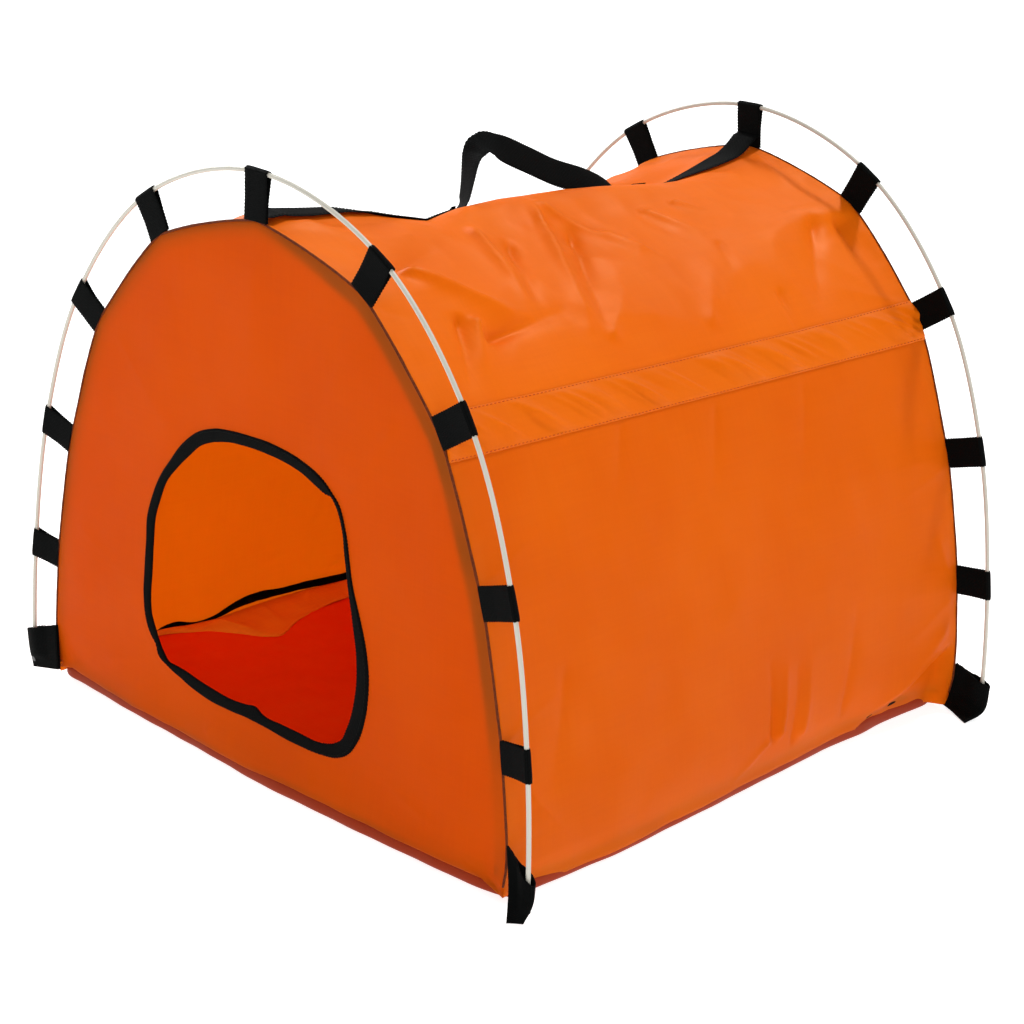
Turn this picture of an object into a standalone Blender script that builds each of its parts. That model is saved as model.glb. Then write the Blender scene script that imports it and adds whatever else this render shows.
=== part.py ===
"""Two-hoop pet tent: a padded floor, a tunnel-shaped fabric shell with a doorway in its front panel,
two fibreglass hoops outside the shell, and the webbing that ties the shell to the hoops.

Frame: metres, +Z up, +Y from the doorway to the back, origin on the ground under the middle of the floor.
Run it with blender --background --python part.py, or from Blender's text editor.
"""
import math

import bmesh
import bpy
import numpy as np
from mathutils import Matrix, Vector

# ---------------------------------------------------------------- driving dimensions (metres)
# Half of the arched seam, apex first: the places where webbing is sewn into it, then its lower end.
SEAM_HALF = ((0.0, 0.4454), (0.1148, 0.4141), (0.1957, 0.3312), (0.2412, 0.2211), (0.2649, 0.1128),
             (0.2713, 0.0270), (0.2690, 0.0135))
# Half of a hoop's centre line, apex first: the places where the webbing holds it, then its lower end.
HOOP_HALF = ((0.0, 0.4803), (0.1328, 0.4416), (0.2226, 0.3489), (0.2718, 0.2307), (0.2922, 0.1176),
             (0.2980, 0.0290), (0.2982, 0.0090))
LOOPS_PER_SIDE = 4            # webbing loops on each side of the apex loop
HOOP_Y = 0.2766               # distance of each hoop's plane from the middle of the tent
SEAM_Y = 0.2710               # distance of each end seam from the middle, at ground level
SEAM_LEAN = 0.0165            # how far each end seam leans outwards per metre of height

WAIST_RIDGE = 0.022           # how far the shell sags inwards half-way between the hoops, at the ridge
WAIST_SIDE = 0.011            # the same at the middle of each side
WAIST_FOOT = 0.006            # the same at the lower edge
WAIST_SKEW = 0.45             # the sag is deeper towards the back
RIDGE_ZONE = 0.26             # arc length from the ridge over which the ridge's sag dies out
FOOT_ZONE = 0.30              # arc length above the lower edge over which the foot's sag dies out

CLOTH = 0.0012                # thickness of a fabric wall
WEBBING = 0.0013              # thickness of the webbing
WEB_WIDTH = 0.025             # width of the webbing
TAPE = 0.0010                 # thickness of a binding tape
TAPE_WIDTH = 0.011            # width of a binding tape
TAPE_LIFT = 0.001             # height of a floor tape's lower edge above the walls' lower edge
TAPE_END_INSET = 0.018        # how far the front and rear floor tapes stop short of the walls' feet
BINDING_LIFT = 0.002          # height of a seam binding's feet above the walls' lower edge
SEWN_LENGTH = 0.985           # share of the shell's length that lengthwise tapes and straps cover
GAP = 0.0003                  # gap between pieces that touch
END_GAP = 0.0005              # gap between the shell's ends and the end panels
TRIM_GAP = 0.0008             # gap between the shell's walls and the bindings inside them

BAND_TOP = 0.2235             # arc length from the ridge to the gathered band's upper stitch line
BAND_BOTTOM = 0.2565          # arc length from the ridge to its lower stitch line

MAT_HEIGHT = 0.0128           # thickness of the padded floor
MAT_COVER = 0.0012            # thickness of each of its covers
FOAM_INSET = 0.006            # how far the foam stays inside the covers' edge

ROD_RADIUS = 0.0018
TIP_RADIUS = 0.0027           # moulded tip on each end of a rod
TIP_LENGTH = 0.012
TIP_BASE = 0.0016             # the tip's closed end
TIP_CHAMFER = 0.0007          # at its closed end's edge
TIP_Z = 0.0066                # height of a tip's lower end, on the hoop's hinge line
LOOP_CLEARANCE = 0.0006       # between a rod and the inside of a webbing loop
LOOP_ROOT = 0.0019            # half thickness of a loop's sewn end
POCKET_ROOT = 0.0025          # the same for a corner pocket
SLEEVE_TURN = math.radians(110.0)  # how far webbing wraps round a rod to each side
ROOT_GAP = 0.0016             # between a loop's sewn end and the seam

POCKET_RADIUS = 0.0048        # outside of a corner pocket around the rod's end
POCKET_ROOT_X = 0.2732        # where a corner pocket is sewn on
POCKET_HEIGHT = 0.036
POCKET_SLOPE = 0.29           # a pocket's edges drop outwards
POCKET_FLOOR = 0.0020         # height of a pocket's lowest corner

# The doorway's binding, centre line, anticlockwise from its upper left.
DOOR = ((-0.066, 0.264), (-0.095, 0.248), (-0.128, 0.210), (-0.142, 0.150), (-0.139, 0.103), (-0.122, 0.066),
        (-0.088, 0.054), (-0.030, 0.051), (0.040, 0.050), (0.084, 0.058), (0.108, 0.086), (0.117, 0.128),
        (0.112, 0.158), (0.098, 0.208), (0.084, 0.250), (0.052, 0.264), (-0.010, 0.271))
DOOR_BINDING_DEPTH = 0.0032   # thickness of the folded binding around the doorway

# The handle's centre line in the tent's middle plane, from its front sewn end to its rear one: (y, z).
HANDLE = ((-0.0730, 0.4302), (-0.0712, 0.4480), (-0.0670, 0.4677), (-0.0560, 0.4810), (-0.0400, 0.4866),
          (-0.0150, 0.4760), (0.0140, 0.4610), (0.0420, 0.4495), (0.0640, 0.4412), (0.1090, 0.4272))
HANDLE_SPLIT_Z = 0.4455       # the ends below this height stay sewn down, the rest swings


def clear_scene():
    for item in list(bpy.data.objects):
        bpy.data.objects.remove(item)


def new_collection(name):
    collection = bpy.data.collections.new(name)
    bpy.context.scene.collection.children.link(collection)
    return collection


clear_scene()
TENT = new_collection("pet_tent")


def make_material(name, colour, roughness):
    material = bpy.data.materials.new(name)
    material.use_nodes = True
    shader = material.node_tree.nodes["Principled BSDF"]
    shader.inputs["Base Color"].default_value = (*colour, 1.0)
    shader.inputs["Roughness"].default_value = roughness
    shader.inputs["Metallic"].default_value = 0.0
    return material


ORANGE = (0.86, 0.17, 0.012)
RED = (0.72, 0.045, 0.008)
BLACK = (0.008, 0.008, 0.009)
IVORY = (0.62, 0.57, 0.47)
GREY = (0.18, 0.18, 0.18)


def add_object(name, data, colour, roughness, matrix=None):
    """Links one named piece to the tent's collection and gives it its own material."""
    piece = bpy.data.objects.new(name, data)
    TENT.objects.link(piece)
    data.materials.append(make_material(name, colour, roughness))
    if matrix is not None:
        piece.matrix_world = matrix
    return piece


# ---------------------------------------------------------------- curves
def smooth_through(points, closed=False, per_span=8):
    """Points of a smooth curve through the given points, each span a cubic with matched tangents."""
    knots = np.array(points, dtype=float)
    if closed:
        knots = np.vstack([knots[-1], knots, knots[0], knots[1]])
    else:
        knots = np.vstack([2 * knots[0] - knots[1], knots, 2 * knots[-1] - knots[-2]])
    spans = np.diff(knots, axis=0)
    lengths = np.linalg.norm(spans, axis=1)[:, None]
    slopes = spans / lengths
    tangents = (slopes[:-1] * lengths[1:] + slopes[1:] * lengths[:-1]) / (lengths[:-1] + lengths[1:])
    curve = []
    for index in range(1, len(knots) - 2):
        for t in np.arange(per_span) / per_span:
            curve.append(knots[index] * (2 * t ** 3 - 3 * t ** 2 + 1)
                         + tangents[index - 1] * lengths[index] * (t ** 3 - 2 * t ** 2 + t)
                         + knots[index + 1] * (3 * t ** 2 - 2 * t ** 3)
                         + tangents[index] * lengths[index] * (t ** 3 - t ** 2))
    if not closed:
        curve.append(knots[-2])
    return np.array(curve)


def whole_arch(half, per_span):
    """A half outline and its mirror image as one smooth curve, from the left foot to the right foot."""
    left = [(-x, z) for x, z in reversed(half[1:])]
    return smooth_through(left + list(half), per_span=per_span)


def arc_lengths(curve):
    steps = np.linalg.norm(np.diff(curve, axis=0), axis=1)
    lengths = np.concatenate([[0.0], np.cumsum(steps)])
    return lengths - lengths[-1] / 2


SEAM_CURVE = whole_arch(SEAM_HALF, 24)
SEAM_ARC = arc_lengths(SEAM_CURVE)
SEAM_LENGTH = SEAM_ARC[-1]
HOOP_CURVE = whole_arch(HOOP_HALF, 4)


def seam_at(arc):
    """Point and outward normal of the arched seam, at a signed arc length from its apex."""
    x, z = (np.interp(arc, SEAM_ARC, SEAM_CURVE[:, axis]) for axis in (0, 1))
    reach = 0.004
    ahead = [np.interp(arc + reach, SEAM_ARC, SEAM_CURVE[:, axis]) for axis in (0, 1)]
    behind = [np.interp(arc - reach, SEAM_ARC, SEAM_CURVE[:, axis]) for axis in (0, 1)]
    along = Vector((ahead[0] - behind[0], ahead[1] - behind[1])).normalized()
    return float(x), float(z), Vector((-along.y, along.x))


def waist_depth(arc, t):
    """How far the shell lies inside the arch, at arc length arc and t from -1, the front, to 1, the back."""
    from_ridge = max(0.0, 1.0 - abs(arc) / RIDGE_ZONE)
    from_foot = max(0.0, 1.0 - (SEAM_LENGTH - abs(arc)) / FOOT_ZONE)
    depth = WAIST_SIDE
    depth += (WAIST_RIDGE - WAIST_SIDE) * from_ridge ** 2
    depth += (WAIST_FOOT - WAIST_SIDE) * from_foot ** 2
    return depth * (1.0 - t * t) * (1.0 + WAIST_SKEW * t * from_ridge)


def shell_point(arc, t, offset=0.0):
    """A point on the shell's outer surface, moved outwards by offset."""
    x, z, normal = seam_at(arc)
    shift = offset - waist_depth(arc, t)
    half_length = SEAM_Y + SEAM_LEAN * z
    return Vector((x + normal.x * shift, t * half_length, z + normal.y * shift))


# ---------------------------------------------------------------- builders
def cloth_panel(name, arcs, ends, segments, offset, thickness, colour, roughness):
    """A curved sheet of the shell between two arc lengths and two ends, thickened inwards."""
    mesh = bpy.data.meshes.new(name)
    grid = bmesh.new()
    bmesh.ops.create_grid(grid, x_segments=segments[0], y_segments=segments[1], size=1.0)
    for vertex in grid.verts:
        arc = arcs[0] + (arcs[1] - arcs[0]) * (vertex.co.x + 1.0) / 2
        t = ends[0] + (ends[1] - ends[0]) * (vertex.co.y + 1.0) / 2
        vertex.co = shell_point(arc, t, offset)
    grid.to_mesh(mesh)
    grid.free()
    panel = add_object(name, mesh, colour, roughness)
    mesh.shade_smooth()
    solidify = panel.modifiers.new("thickness", "SOLIDIFY")
    solidify.thickness = thickness
    solidify.offset = -1.0
    return panel


def flat_outline(name, loops, thickness, colour, roughness, matrix):
    """A flat piece: closed outlines in the local XY plane, the first filled and the others cut out."""
    data = bpy.data.curves.new(name, "CURVE")
    data.dimensions = "2D"
    data.fill_mode = "BOTH"
    data.extrude = thickness / 2
    for loop in loops:
        spline = data.splines.new("POLY")
        spline.points.add(len(loop) - 1)
        for point, (x, y) in zip(spline.points, loop):
            point.co = (x, y, 0.0, 1.0)
        spline.use_cyclic_u = True
    return add_object(name, data, colour, roughness, matrix)


def offset_outline(outline, distance):
    """A closed anticlockwise outline moved outwards by distance."""
    along = np.roll(outline, -1, axis=0) - np.roll(outline, 1, axis=0)
    along /= np.linalg.norm(along, axis=1)[:, None]
    outwards = np.column_stack([along[:, 1], -along[:, 0]])
    return outline + outwards * distance


def end_plane(side, distance):
    """Places a flat piece in an end seam's plane: side -1 is the front, 1 the back, distance is outwards."""
    lean = math.atan(SEAM_LEAN)
    turn = Matrix.Rotation(math.pi / 2 - side * lean, 4, "X")
    return Matrix.Translation((0.0, side * (SEAM_Y + distance / math.cos(lean)), 0.0)) @ turn


def arch_line(inset, lift, per_span=3):
    """The arched seam's outline moved inwards by inset, its feet raised by lift."""
    curve = whole_arch(SEAM_HALF, per_span)
    arcs = arc_lengths(curve)
    line = []
    for arc in arcs:
        x, z, normal = seam_at(arc)
        line.append((x - normal.x * inset, max(z - normal.y * inset, SEAM_HALF[-1][1] + lift)))
    return line


def mat_outline(inset):
    """The floor's outline: straight ends, and long sides that follow the shell's lower edge."""
    steps = np.linspace(-1.0, 1.0, 17)
    right = [shell_point(SEAM_LENGTH, t) for t in steps]
    side = [(p.x - inset, p.y * (1.0 - inset / SEAM_Y)) for p in right]
    return side + [(-x, y) for x, y in reversed(side)]


def strap_outline(path, thickness):
    """The edge view of a strap: its centre line thickened to both sides."""
    along = np.gradient(path, axis=0)
    along /= np.linalg.norm(along, axis=1)[:, None]
    sideways = np.column_stack([-along[:, 1], along[:, 0]]) * thickness / 2
    return list(path - sideways) + list((path + sideways)[::-1])


def sleeve_ring(reach, radius, root):
    """Section of a webbing sleeve: round a rod at the origin, narrowing to its sewn end at -reach."""
    turns = np.linspace(-SLEEVE_TURN, SLEEVE_TURN, 11)
    ring = [(radius * math.cos(a), radius * math.sin(a)) for a in turns]
    return ring + [(-reach, root), (-reach, -root)]


def webbing_sleeve(name, ring, low, high, slope, closed, matrix):
    """Webbing folded round a rod along local Z, open at both ends or closed at its lower one."""
    mesh = bpy.data.meshes.new(name)
    shape = bmesh.new()
    corners = [shape.verts.new((x, y, low - slope * x)) for x, y in ring]
    floor = shape.faces.new(corners)
    sides = bmesh.ops.extrude_edge_only(shape, edges=list(floor.edges))
    top = [item for item in sides["geom"] if isinstance(item, bmesh.types.BMVert)]
    bmesh.ops.translate(shape, verts=top, vec=(0.0, 0.0, high - low))
    if not closed:
        bmesh.ops.delete(shape, geom=[floor], context="FACES_ONLY")
    bmesh.ops.recalc_face_normals(shape, faces=list(shape.faces))
    shape.to_mesh(mesh)
    shape.free()
    sleeve = add_object(name, mesh, BLACK, 0.85, matrix)
    solidify = sleeve.modifiers.new("thickness", "SOLIDIFY")
    solidify.thickness = WEBBING
    solidify.offset = -1.0
    solidify.use_even_offset = True
    return sleeve


# ---------------------------------------------------------------- pieces
def build_floor():
    """Padded floor: lower cover on the ground, foam core, upper cover."""
    flat = Matrix.Translation
    foam_height = MAT_HEIGHT - 2 * (MAT_COVER + GAP)
    flat_outline("floor_lower_cover", [mat_outline(0.0)], MAT_COVER, ORANGE, 0.7,
                 flat((0.0, 0.0, MAT_COVER / 2)))
    flat_outline("floor_foam", [mat_outline(FOAM_INSET)], foam_height, GREY, 0.9,
                 flat((0.0, 0.0, MAT_HEIGHT / 2)))
    flat_outline("floor_upper_cover", [mat_outline(0.0)], MAT_COVER, RED, 0.6,
                 flat((0.0, 0.0, MAT_HEIGHT - MAT_COVER / 2)))


def build_shell():
    """Roof, sides and the gathered bands that cover the joints between them."""
    joint = (BAND_TOP + BAND_BOTTOM) / 2
    cloth_panel("roof_panel", (-joint, joint), (-1.0, 1.0), (28, 12), 0.0, CLOTH, ORANGE, 0.45)
    for side, label in ((1, "right"), (-1, "left")):
        arcs = sorted((side * (joint + 2 * GAP), side * SEAM_LENGTH))
        cloth_panel(f"{label}_side_panel", arcs, (-1.0, 1.0), (14, 12), 0.0, CLOTH, ORANGE, 0.5)
        arcs = sorted((side * BAND_TOP, side * BAND_BOTTOM))
        cloth_panel(f"{label}_seam_band", arcs, (-1.0, 1.0), (3, 12), GAP + CLOTH, CLOTH, ORANGE, 0.5)


def build_end_panels():
    """Front panel with its doorway, rear panel, and the seam bindings inside their arched edges."""
    outline = np.array(arch_line(0.0, 0.0))
    door = smooth_through(DOOR, closed=True, per_span=3)
    half_tape = TAPE_WIDTH / 2
    distance = END_GAP + CLOTH / 2
    front = end_plane(-1, distance)
    flat_outline("front_panel", [outline, offset_outline(door, half_tape + GAP)], CLOTH, ORANGE, 0.5, front)
    flat_outline("door_binding", [offset_outline(door, half_tape), offset_outline(door, -half_tape)],
                 DOOR_BINDING_DEPTH, BLACK, 0.85, front)
    flat_outline("rear_panel", [outline], CLOTH, ORANGE, 0.5, end_plane(1, distance))
    outer = arch_line(CLOTH + TRIM_GAP, BINDING_LIFT)
    inner = arch_line(CLOTH + TRIM_GAP + TAPE_WIDTH, BINDING_LIFT)
    strip = outer + inner[::-1]
    for side, label in ((-1, "front"), (1, "rear")):
        plane = end_plane(side, END_GAP - GAP - TAPE / 2)
        flat_outline(f"{label}_seam_binding", [strip], TAPE, BLACK, 0.8, plane)


def build_floor_tapes():
    """Binding tapes inside, where the walls meet the floor."""
    inside = -(CLOTH + TRIM_GAP)
    for side, label in ((1, "right"), (-1, "left")):
        foot = SEAM_LENGTH - TAPE_LIFT
        arcs = sorted((side * (foot - TAPE_WIDTH), side * foot))
        cloth_panel(f"{label}_floor_tape", arcs, (-SEWN_LENGTH, SEWN_LENGTH), (2, 12), inside, TAPE,
                    BLACK, 0.8)
    half_width = SEAM_HALF[-1][0] - TAPE_END_INSET
    low = SEAM_HALF[-1][1] + TAPE_LIFT
    strip = [(-half_width, low), (half_width, low), (half_width, low + TAPE_WIDTH),
             (-half_width, low + TAPE_WIDTH)]
    for side, label in ((-1, "front"), (1, "rear")):
        plane = end_plane(side, END_GAP - GAP - TAPE / 2)
        flat_outline(f"{label}_floor_tape", [strip], TAPE, BLACK, 0.8, plane)


def build_ridge():
    """Webbing along the ridge, and the carry handle that stands on it."""
    half = WEB_WIDTH / 2
    cloth_panel("ridge_strap", (-half, half), (-SEWN_LENGTH, SEWN_LENGTH), (3, 16), GAP + WEBBING, WEBBING,
                BLACK, 0.85)
    path = smooth_through(HANDLE, per_span=5)
    rising = int(np.argmax(path[:, 1] > HANDLE_SPLIT_Z))
    falling = len(path) - 1 - int(np.argmax(path[::-1, 1] > HANDLE_SPLIT_Z))
    upright = Matrix(((0, 0, 1, 0), (1, 0, 0, 0), (0, 1, 0, 0), (0, 0, 0, 1)))
    stretches = (("handle_front_end", path[:rising + 1]),
                 ("carry_handle", path[rising:falling + 1]),
                 ("handle_rear_end", path[falling:]))
    for name, stretch in stretches:
        trimmed = np.array(stretch)
        if name == "carry_handle":
            for end, inner in ((0, 1), (-1, -2)):
                step = trimmed[inner] - trimmed[end]
                trimmed[end] += step / np.linalg.norm(step) * GAP
        flat_outline(name, [strap_outline(trimmed, WEBBING)], WEB_WIDTH, BLACK, 0.85, upright)


def build_hoop(side, label):
    """One hoop: a bent rod with a moulded tip on each end."""
    data = bpy.data.curves.new(f"{label}_rod", "CURVE")
    data.dimensions = "3D"
    data.bevel_depth = ROD_RADIUS
    data.bevel_resolution = 2
    data.use_fill_caps = True
    spline = data.splines.new("POLY")
    spline.points.add(len(HOOP_CURVE) - 1)
    for point, (x, z) in zip(spline.points, HOOP_CURVE):
        point.co = (x, side * HOOP_Y, z, 1.0)
    add_object(f"{label}_rod", data, IVORY, 0.45)
    for hand, side_label in ((1, "right"), (-1, "left")):
        build_tip(f"{label}_{side_label}_rod_tip", hand * HOOP_HALF[-1][0], side * HOOP_Y)


def build_tip(name, x, y):
    """A moulded cup over the end of a rod, turned about the rod's axis."""
    bore = ROD_RADIUS + GAP
    profile = ((bore, TIP_LENGTH), (TIP_RADIUS, TIP_LENGTH), (TIP_RADIUS, TIP_CHAMFER),
               (TIP_RADIUS - TIP_CHAMFER, 0.0), (0.0, 0.0))
    inside = ((0.0, TIP_BASE), (bore, TIP_BASE), (bore, TIP_LENGTH))
    mesh = bpy.data.meshes.new(name)
    shape = bmesh.new()
    outer = [shape.verts.new((px, 0.0, pz)) for px, pz in profile]
    inner = [shape.verts.new((px, 0.0, pz)) for px, pz in inside[:-1]]
    for chain in (outer, inner + [outer[0]]):
        for first, second in zip(chain, chain[1:]):
            shape.edges.new((first, second))
    shape.to_mesh(mesh)
    shape.free()
    tip = add_object(name, mesh, GREY, 0.5, Matrix.Translation((x, y, TIP_Z)))
    screw = tip.modifiers.new("turn", "SCREW")
    screw.steps = 14
    screw.render_steps = 14
    screw.use_merge_vertices = True
    screw.merge_threshold = 0.00005


def hoop_tangent(index, hand):
    """Unit vector along a hoop where a loop holds it, from the left foot towards the right foot."""
    curve = whole_arch(HOOP_HALF, 24)
    middle = (len(curve) - 1) // 2
    at = middle + hand * index * 24
    step = curve[at + 2] - curve[at - 2]
    return Vector((step[0], 0.0, step[1])).normalized()


def build_loops(side, label):
    """Nine webbing loops that hold the shell's end seam to its hoop."""
    places = [(0, 1, "apex")]
    places += [(i, 1, f"right_{i}") for i in range(1, LOOPS_PER_SIDE + 1)]
    places += [(i, -1, f"left_{i}") for i in range(1, LOOPS_PER_SIDE + 1)]
    for index, hand, place in places:
        seam_x, seam_z = SEAM_HALF[index]
        rod_x, rod_z = HOOP_HALF[index]
        seam = Vector((hand * seam_x, side * (SEAM_Y + SEAM_LEAN * seam_z), seam_z))
        rod = Vector((hand * rod_x, side * HOOP_Y, rod_z))
        along = hoop_tangent(index, hand)
        outwards = rod - seam
        outwards = outwards - along * outwards.dot(along)
        reach = outwards.length - ROOT_GAP
        outwards.normalize()
        across = along.cross(outwards)
        turn = Matrix((outwards, across, along)).transposed().to_4x4()
        ring = sleeve_ring(reach, ROD_RADIUS + LOOP_CLEARANCE + WEBBING, LOOP_ROOT)
        webbing_sleeve(f"{label}_loop_{place}", ring, -WEB_WIDTH / 2, WEB_WIDTH / 2, 0.0, False,
                       Matrix.Translation(rod) @ turn)


def build_pockets(side, label):
    """Corner pockets of doubled webbing, closed below, that hold the hoop's feet."""
    foot_x = HOOP_HALF[-2][0]
    ring = sleeve_ring(foot_x - POCKET_ROOT_X, POCKET_RADIUS, POCKET_ROOT)
    low = POCKET_FLOOR + POCKET_SLOPE * POCKET_RADIUS
    for hand, side_label in ((1, "right"), (-1, "left")):
        turn = Matrix.Rotation(0.0 if hand > 0 else math.pi, 4, "Z")
        place = Matrix.Translation((hand * foot_x, side * HOOP_Y, 0.0)) @ turn
        webbing_sleeve(f"{label}_{side_label}_pocket", ring, low, low + POCKET_HEIGHT, POCKET_SLOPE, True,
                       place)


build_floor()
build_shell()
build_end_panels()
build_floor_tapes()
build_ridge()
for tent_side, tent_label in ((-1, "front"), (1, "rear")):
    build_hoop(tent_side, tent_label)
    build_loops(tent_side, tent_label)
    build_pockets(tent_side, tent_label)
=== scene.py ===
"""The looks of the two-hoop pet tent: coated-nylon walls, black webbing, fibreglass hoops and a padded floor.

Frame: metres, +Z up, +Y from the doorway to the back, origin on the ground under the middle of the floor.
"""
import math

import bmesh
import bpy
import numpy as np
from mathutils import Matrix, Vector


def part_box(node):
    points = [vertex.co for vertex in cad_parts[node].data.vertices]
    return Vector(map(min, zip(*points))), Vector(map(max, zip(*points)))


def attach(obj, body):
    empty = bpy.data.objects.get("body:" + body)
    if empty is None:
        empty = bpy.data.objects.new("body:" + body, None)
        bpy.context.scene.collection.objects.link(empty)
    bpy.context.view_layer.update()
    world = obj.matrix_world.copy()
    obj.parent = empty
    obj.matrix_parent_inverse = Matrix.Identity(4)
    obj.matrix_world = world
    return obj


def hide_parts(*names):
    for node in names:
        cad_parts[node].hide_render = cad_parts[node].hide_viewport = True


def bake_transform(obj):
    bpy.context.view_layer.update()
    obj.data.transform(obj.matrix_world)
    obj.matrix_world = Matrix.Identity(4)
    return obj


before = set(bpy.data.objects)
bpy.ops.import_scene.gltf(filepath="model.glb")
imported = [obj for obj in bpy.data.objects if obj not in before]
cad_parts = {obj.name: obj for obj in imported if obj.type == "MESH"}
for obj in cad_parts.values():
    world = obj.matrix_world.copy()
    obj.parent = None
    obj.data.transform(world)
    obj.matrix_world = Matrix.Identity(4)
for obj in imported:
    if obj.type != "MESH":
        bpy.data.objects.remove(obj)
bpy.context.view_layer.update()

MM = 0.001

# ---------------------------------------------------------------- the tent's own dimensions, as in the frame
# Half of the arched seam and half of a hoop's centre line, apex first: the webbing's places, then the foot.
SEAM_HALF = ((0.0, 0.4454), (0.1148, 0.4141), (0.1957, 0.3312), (0.2412, 0.2211), (0.2649, 0.1128),
             (0.2713, 0.0270), (0.2690, 0.0135))
HOOP_HALF = ((0.0, 0.4803), (0.1328, 0.4416), (0.2226, 0.3489), (0.2718, 0.2307), (0.2922, 0.1176),
             (0.2980, 0.0290), (0.2982, 0.0090))
LOOPS_PER_SIDE = 4
SEAM_Y = 0.2710               # half the distance between the end seams, at the ground
SEAM_LEAN = 0.0165            # how much farther apart they are, for each metre of height, at each end
HOOP_Y = sum(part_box("rear_rod")[i].y for i in (0, 1)) / 2
ROD_RADIUS = (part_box("rear_rod")[1].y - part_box("rear_rod")[0].y) / 2
MAT_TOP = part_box("floor_upper_cover")[1].z

# How far the shell sags inside the arch half-way along: at the ridge, between, and at the foot.
WAIST_RIDGE = 0.022
WAIST_SIDE = 0.011
WAIST_FOOT = 0.0
WAIST_SKEW = 0.45             # how much deeper it sags at the back than at the front
RIDGE_ZONE = 0.26             # arc lengths over which the ridge's and the foot's own depths die out
FOOT_ZONE = 0.30
# How far the shell's lower edge stands out of a straight line between its corners, along y, in millimetres.
RIGHT_FOOT = ((-276, 1), (-210, 2.5), (-151, 4.5), (-107, 2), (-15, -3.5), (84, -9), (132, -11.5),
              (171, -10), (212, -3), (256, 1), (276, 1))
LEFT_FOOT = ((-276, 4), (-200, 1), (-155, 0), (-112, -5), (-46, 1), (0, 1), (49, -4), (150, -6), (240, -6),
             (276, -3))
FOOT_FLARE = 0.15             # arc length above the lower edge over which that dies out

LEAN_SLOPE = 0.75             # how steeply the slack ridge leans to the left, half-way along
LEAN_WIDTH = 0.022            # distance of its crest from the ridge strap
LEAN_CENTRE = 0.10            # where it leans most, from -1, the front, to 1, the back
# The slack ridge's ups and downs along y, and the ridge strap's shift to the left, in millimetres.
RIDGE_RISE = ((-272, 0), (-262, 3), (-235, 3), (-200, 5), (-175, 3), (-150, -2), (-118, -8), (-88, -1),
              (-45, 3), (0, 5), (30, 5.5), (70, 3), (105, -1), (150, -5), (175, -6), (210, -3.5),
              (240, -1.5), (276, 0))
RIDGE_RISE_WIDTH = 0.045      # arc length over which these die out to both sides
STRAP_SHIFT = ((-276, 0), (-125, 0), (-85, -7), (150, -8), (185, -3), (215, 0), (276, 0))
FRONT_PUFF = (5.5, -44, 34, -246, 26)  # height, arc and its spread, y and its spread, millimetres
CRUMPLE = 3.3 * MM            # depth of the fine creases on the roof
CRUMPLE_SIDE = 0.3            # the share of it on the side walls
ROOF_SAG = (0.020, 0.006)     # how far the left and right roof halves hang inwards between ridge and band
ROOF_SAG_ARC = 0.105          # arc length of that sag's middle from the ridge
# Lower corners pulled inwards: side, end, the fold's ends as arc length and y, and the depth, in millimetres.
CORNER_TUCKS = ((1, 1, 520, 262, 566, 170, 13), (-1, 1, 532, 262, 566, 175, 6),
                (1, -1, 545, -262, 566, -225, 2))

# The gathered bands' two rows of stitches, as arc lengths from the ridge.
BAND_TOP = 0.2235
BAND_BOTTOM = 0.2565
# Heights of the walls' lower hems: along x at the end walls, along y at the side walls, all in millimetres.
END_HEM = ((-276, 16), (-262, 14), (-235, 11.5), (-155, 10.5), (-80, 10.5), (-10, 11), (55, 14), (137, 13),
           (213, 12.5), (255, 11), (269, 5))
SIDE_HEM = ((-276, 5), (-200, 6), (0, 7), (150, 6.5), (235, 3.5), (276, 2))
# How far the padded floor's edge stands out of the end seams' feet, along x, in millimetres.
END_EDGE = ((-269, -5), (-238, -5), (-150, 0.5), (-75, 2.0), (0, 6), (40, 5.5), (100, 4), (174, 0.5),
            (245, -4), (269, -9))
WEB_WIDTH = 0.025
WEB_THICKNESS = 1.1 * MM
CLOTH = 0.7 * MM              # the walls as they show: coated nylon with its hems

# The doorway's binding: its centre line (x, z) in metres and its width in millimetres, from its upper left.
DOOR = ((-0.052, 0.270, 10.4), (-0.071, 0.2624, 11.2), (-0.087, 0.250, 10.8), (-0.102, 0.235, 9.5),
        (-0.115, 0.220, 8.2), (-0.1255, 0.201, 9.0), (-0.133, 0.181, 9.8), (-0.135, 0.160, 9.0),
        (-0.1367, 0.138, 9.6), (-0.1387, 0.114, 9.0), (-0.1365, 0.097, 8.6), (-0.1305, 0.084, 7.6),
        (-0.1255, 0.077, 4.6), (-0.121, 0.0685, 8.0), (-0.113, 0.0630, 4.2), (-0.105, 0.0610, 6.6),
        (-0.096, 0.0595, 8.0), (-0.084, 0.0571, 10.0), (-0.061, 0.0543, 11.2), (-0.031, 0.0536, 10.0),
        (-0.012, 0.0548, 11.2), (-0.004, 0.0552, 13.0), (0.003, 0.0536, 9.8), (0.027, 0.0525, 9.4),
        (0.050, 0.0526, 10.2), (0.077, 0.0541, 9.8), (0.091, 0.0575, 10.6), (0.102, 0.0645, 12.2),
        (0.110, 0.0770, 14.2), (0.118, 0.099, 14.6), (0.121, 0.124, 13.8), (0.1187, 0.148, 12.2),
        (0.113, 0.168, 9.6), (0.1065, 0.191, 6.6), (0.102, 0.214, 5.0), (0.098, 0.236, 4.2),
        (0.091, 0.252, 4.6), (0.084, 0.2585, 4.2), (0.079, 0.2605, 7.6), (0.070, 0.2645, 9.8),
        (0.050, 0.2710, 9.8), (0.020, 0.2752, 9.8), (-0.012, 0.2754, 9.6), (-0.035, 0.2735, 9.8))
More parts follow.
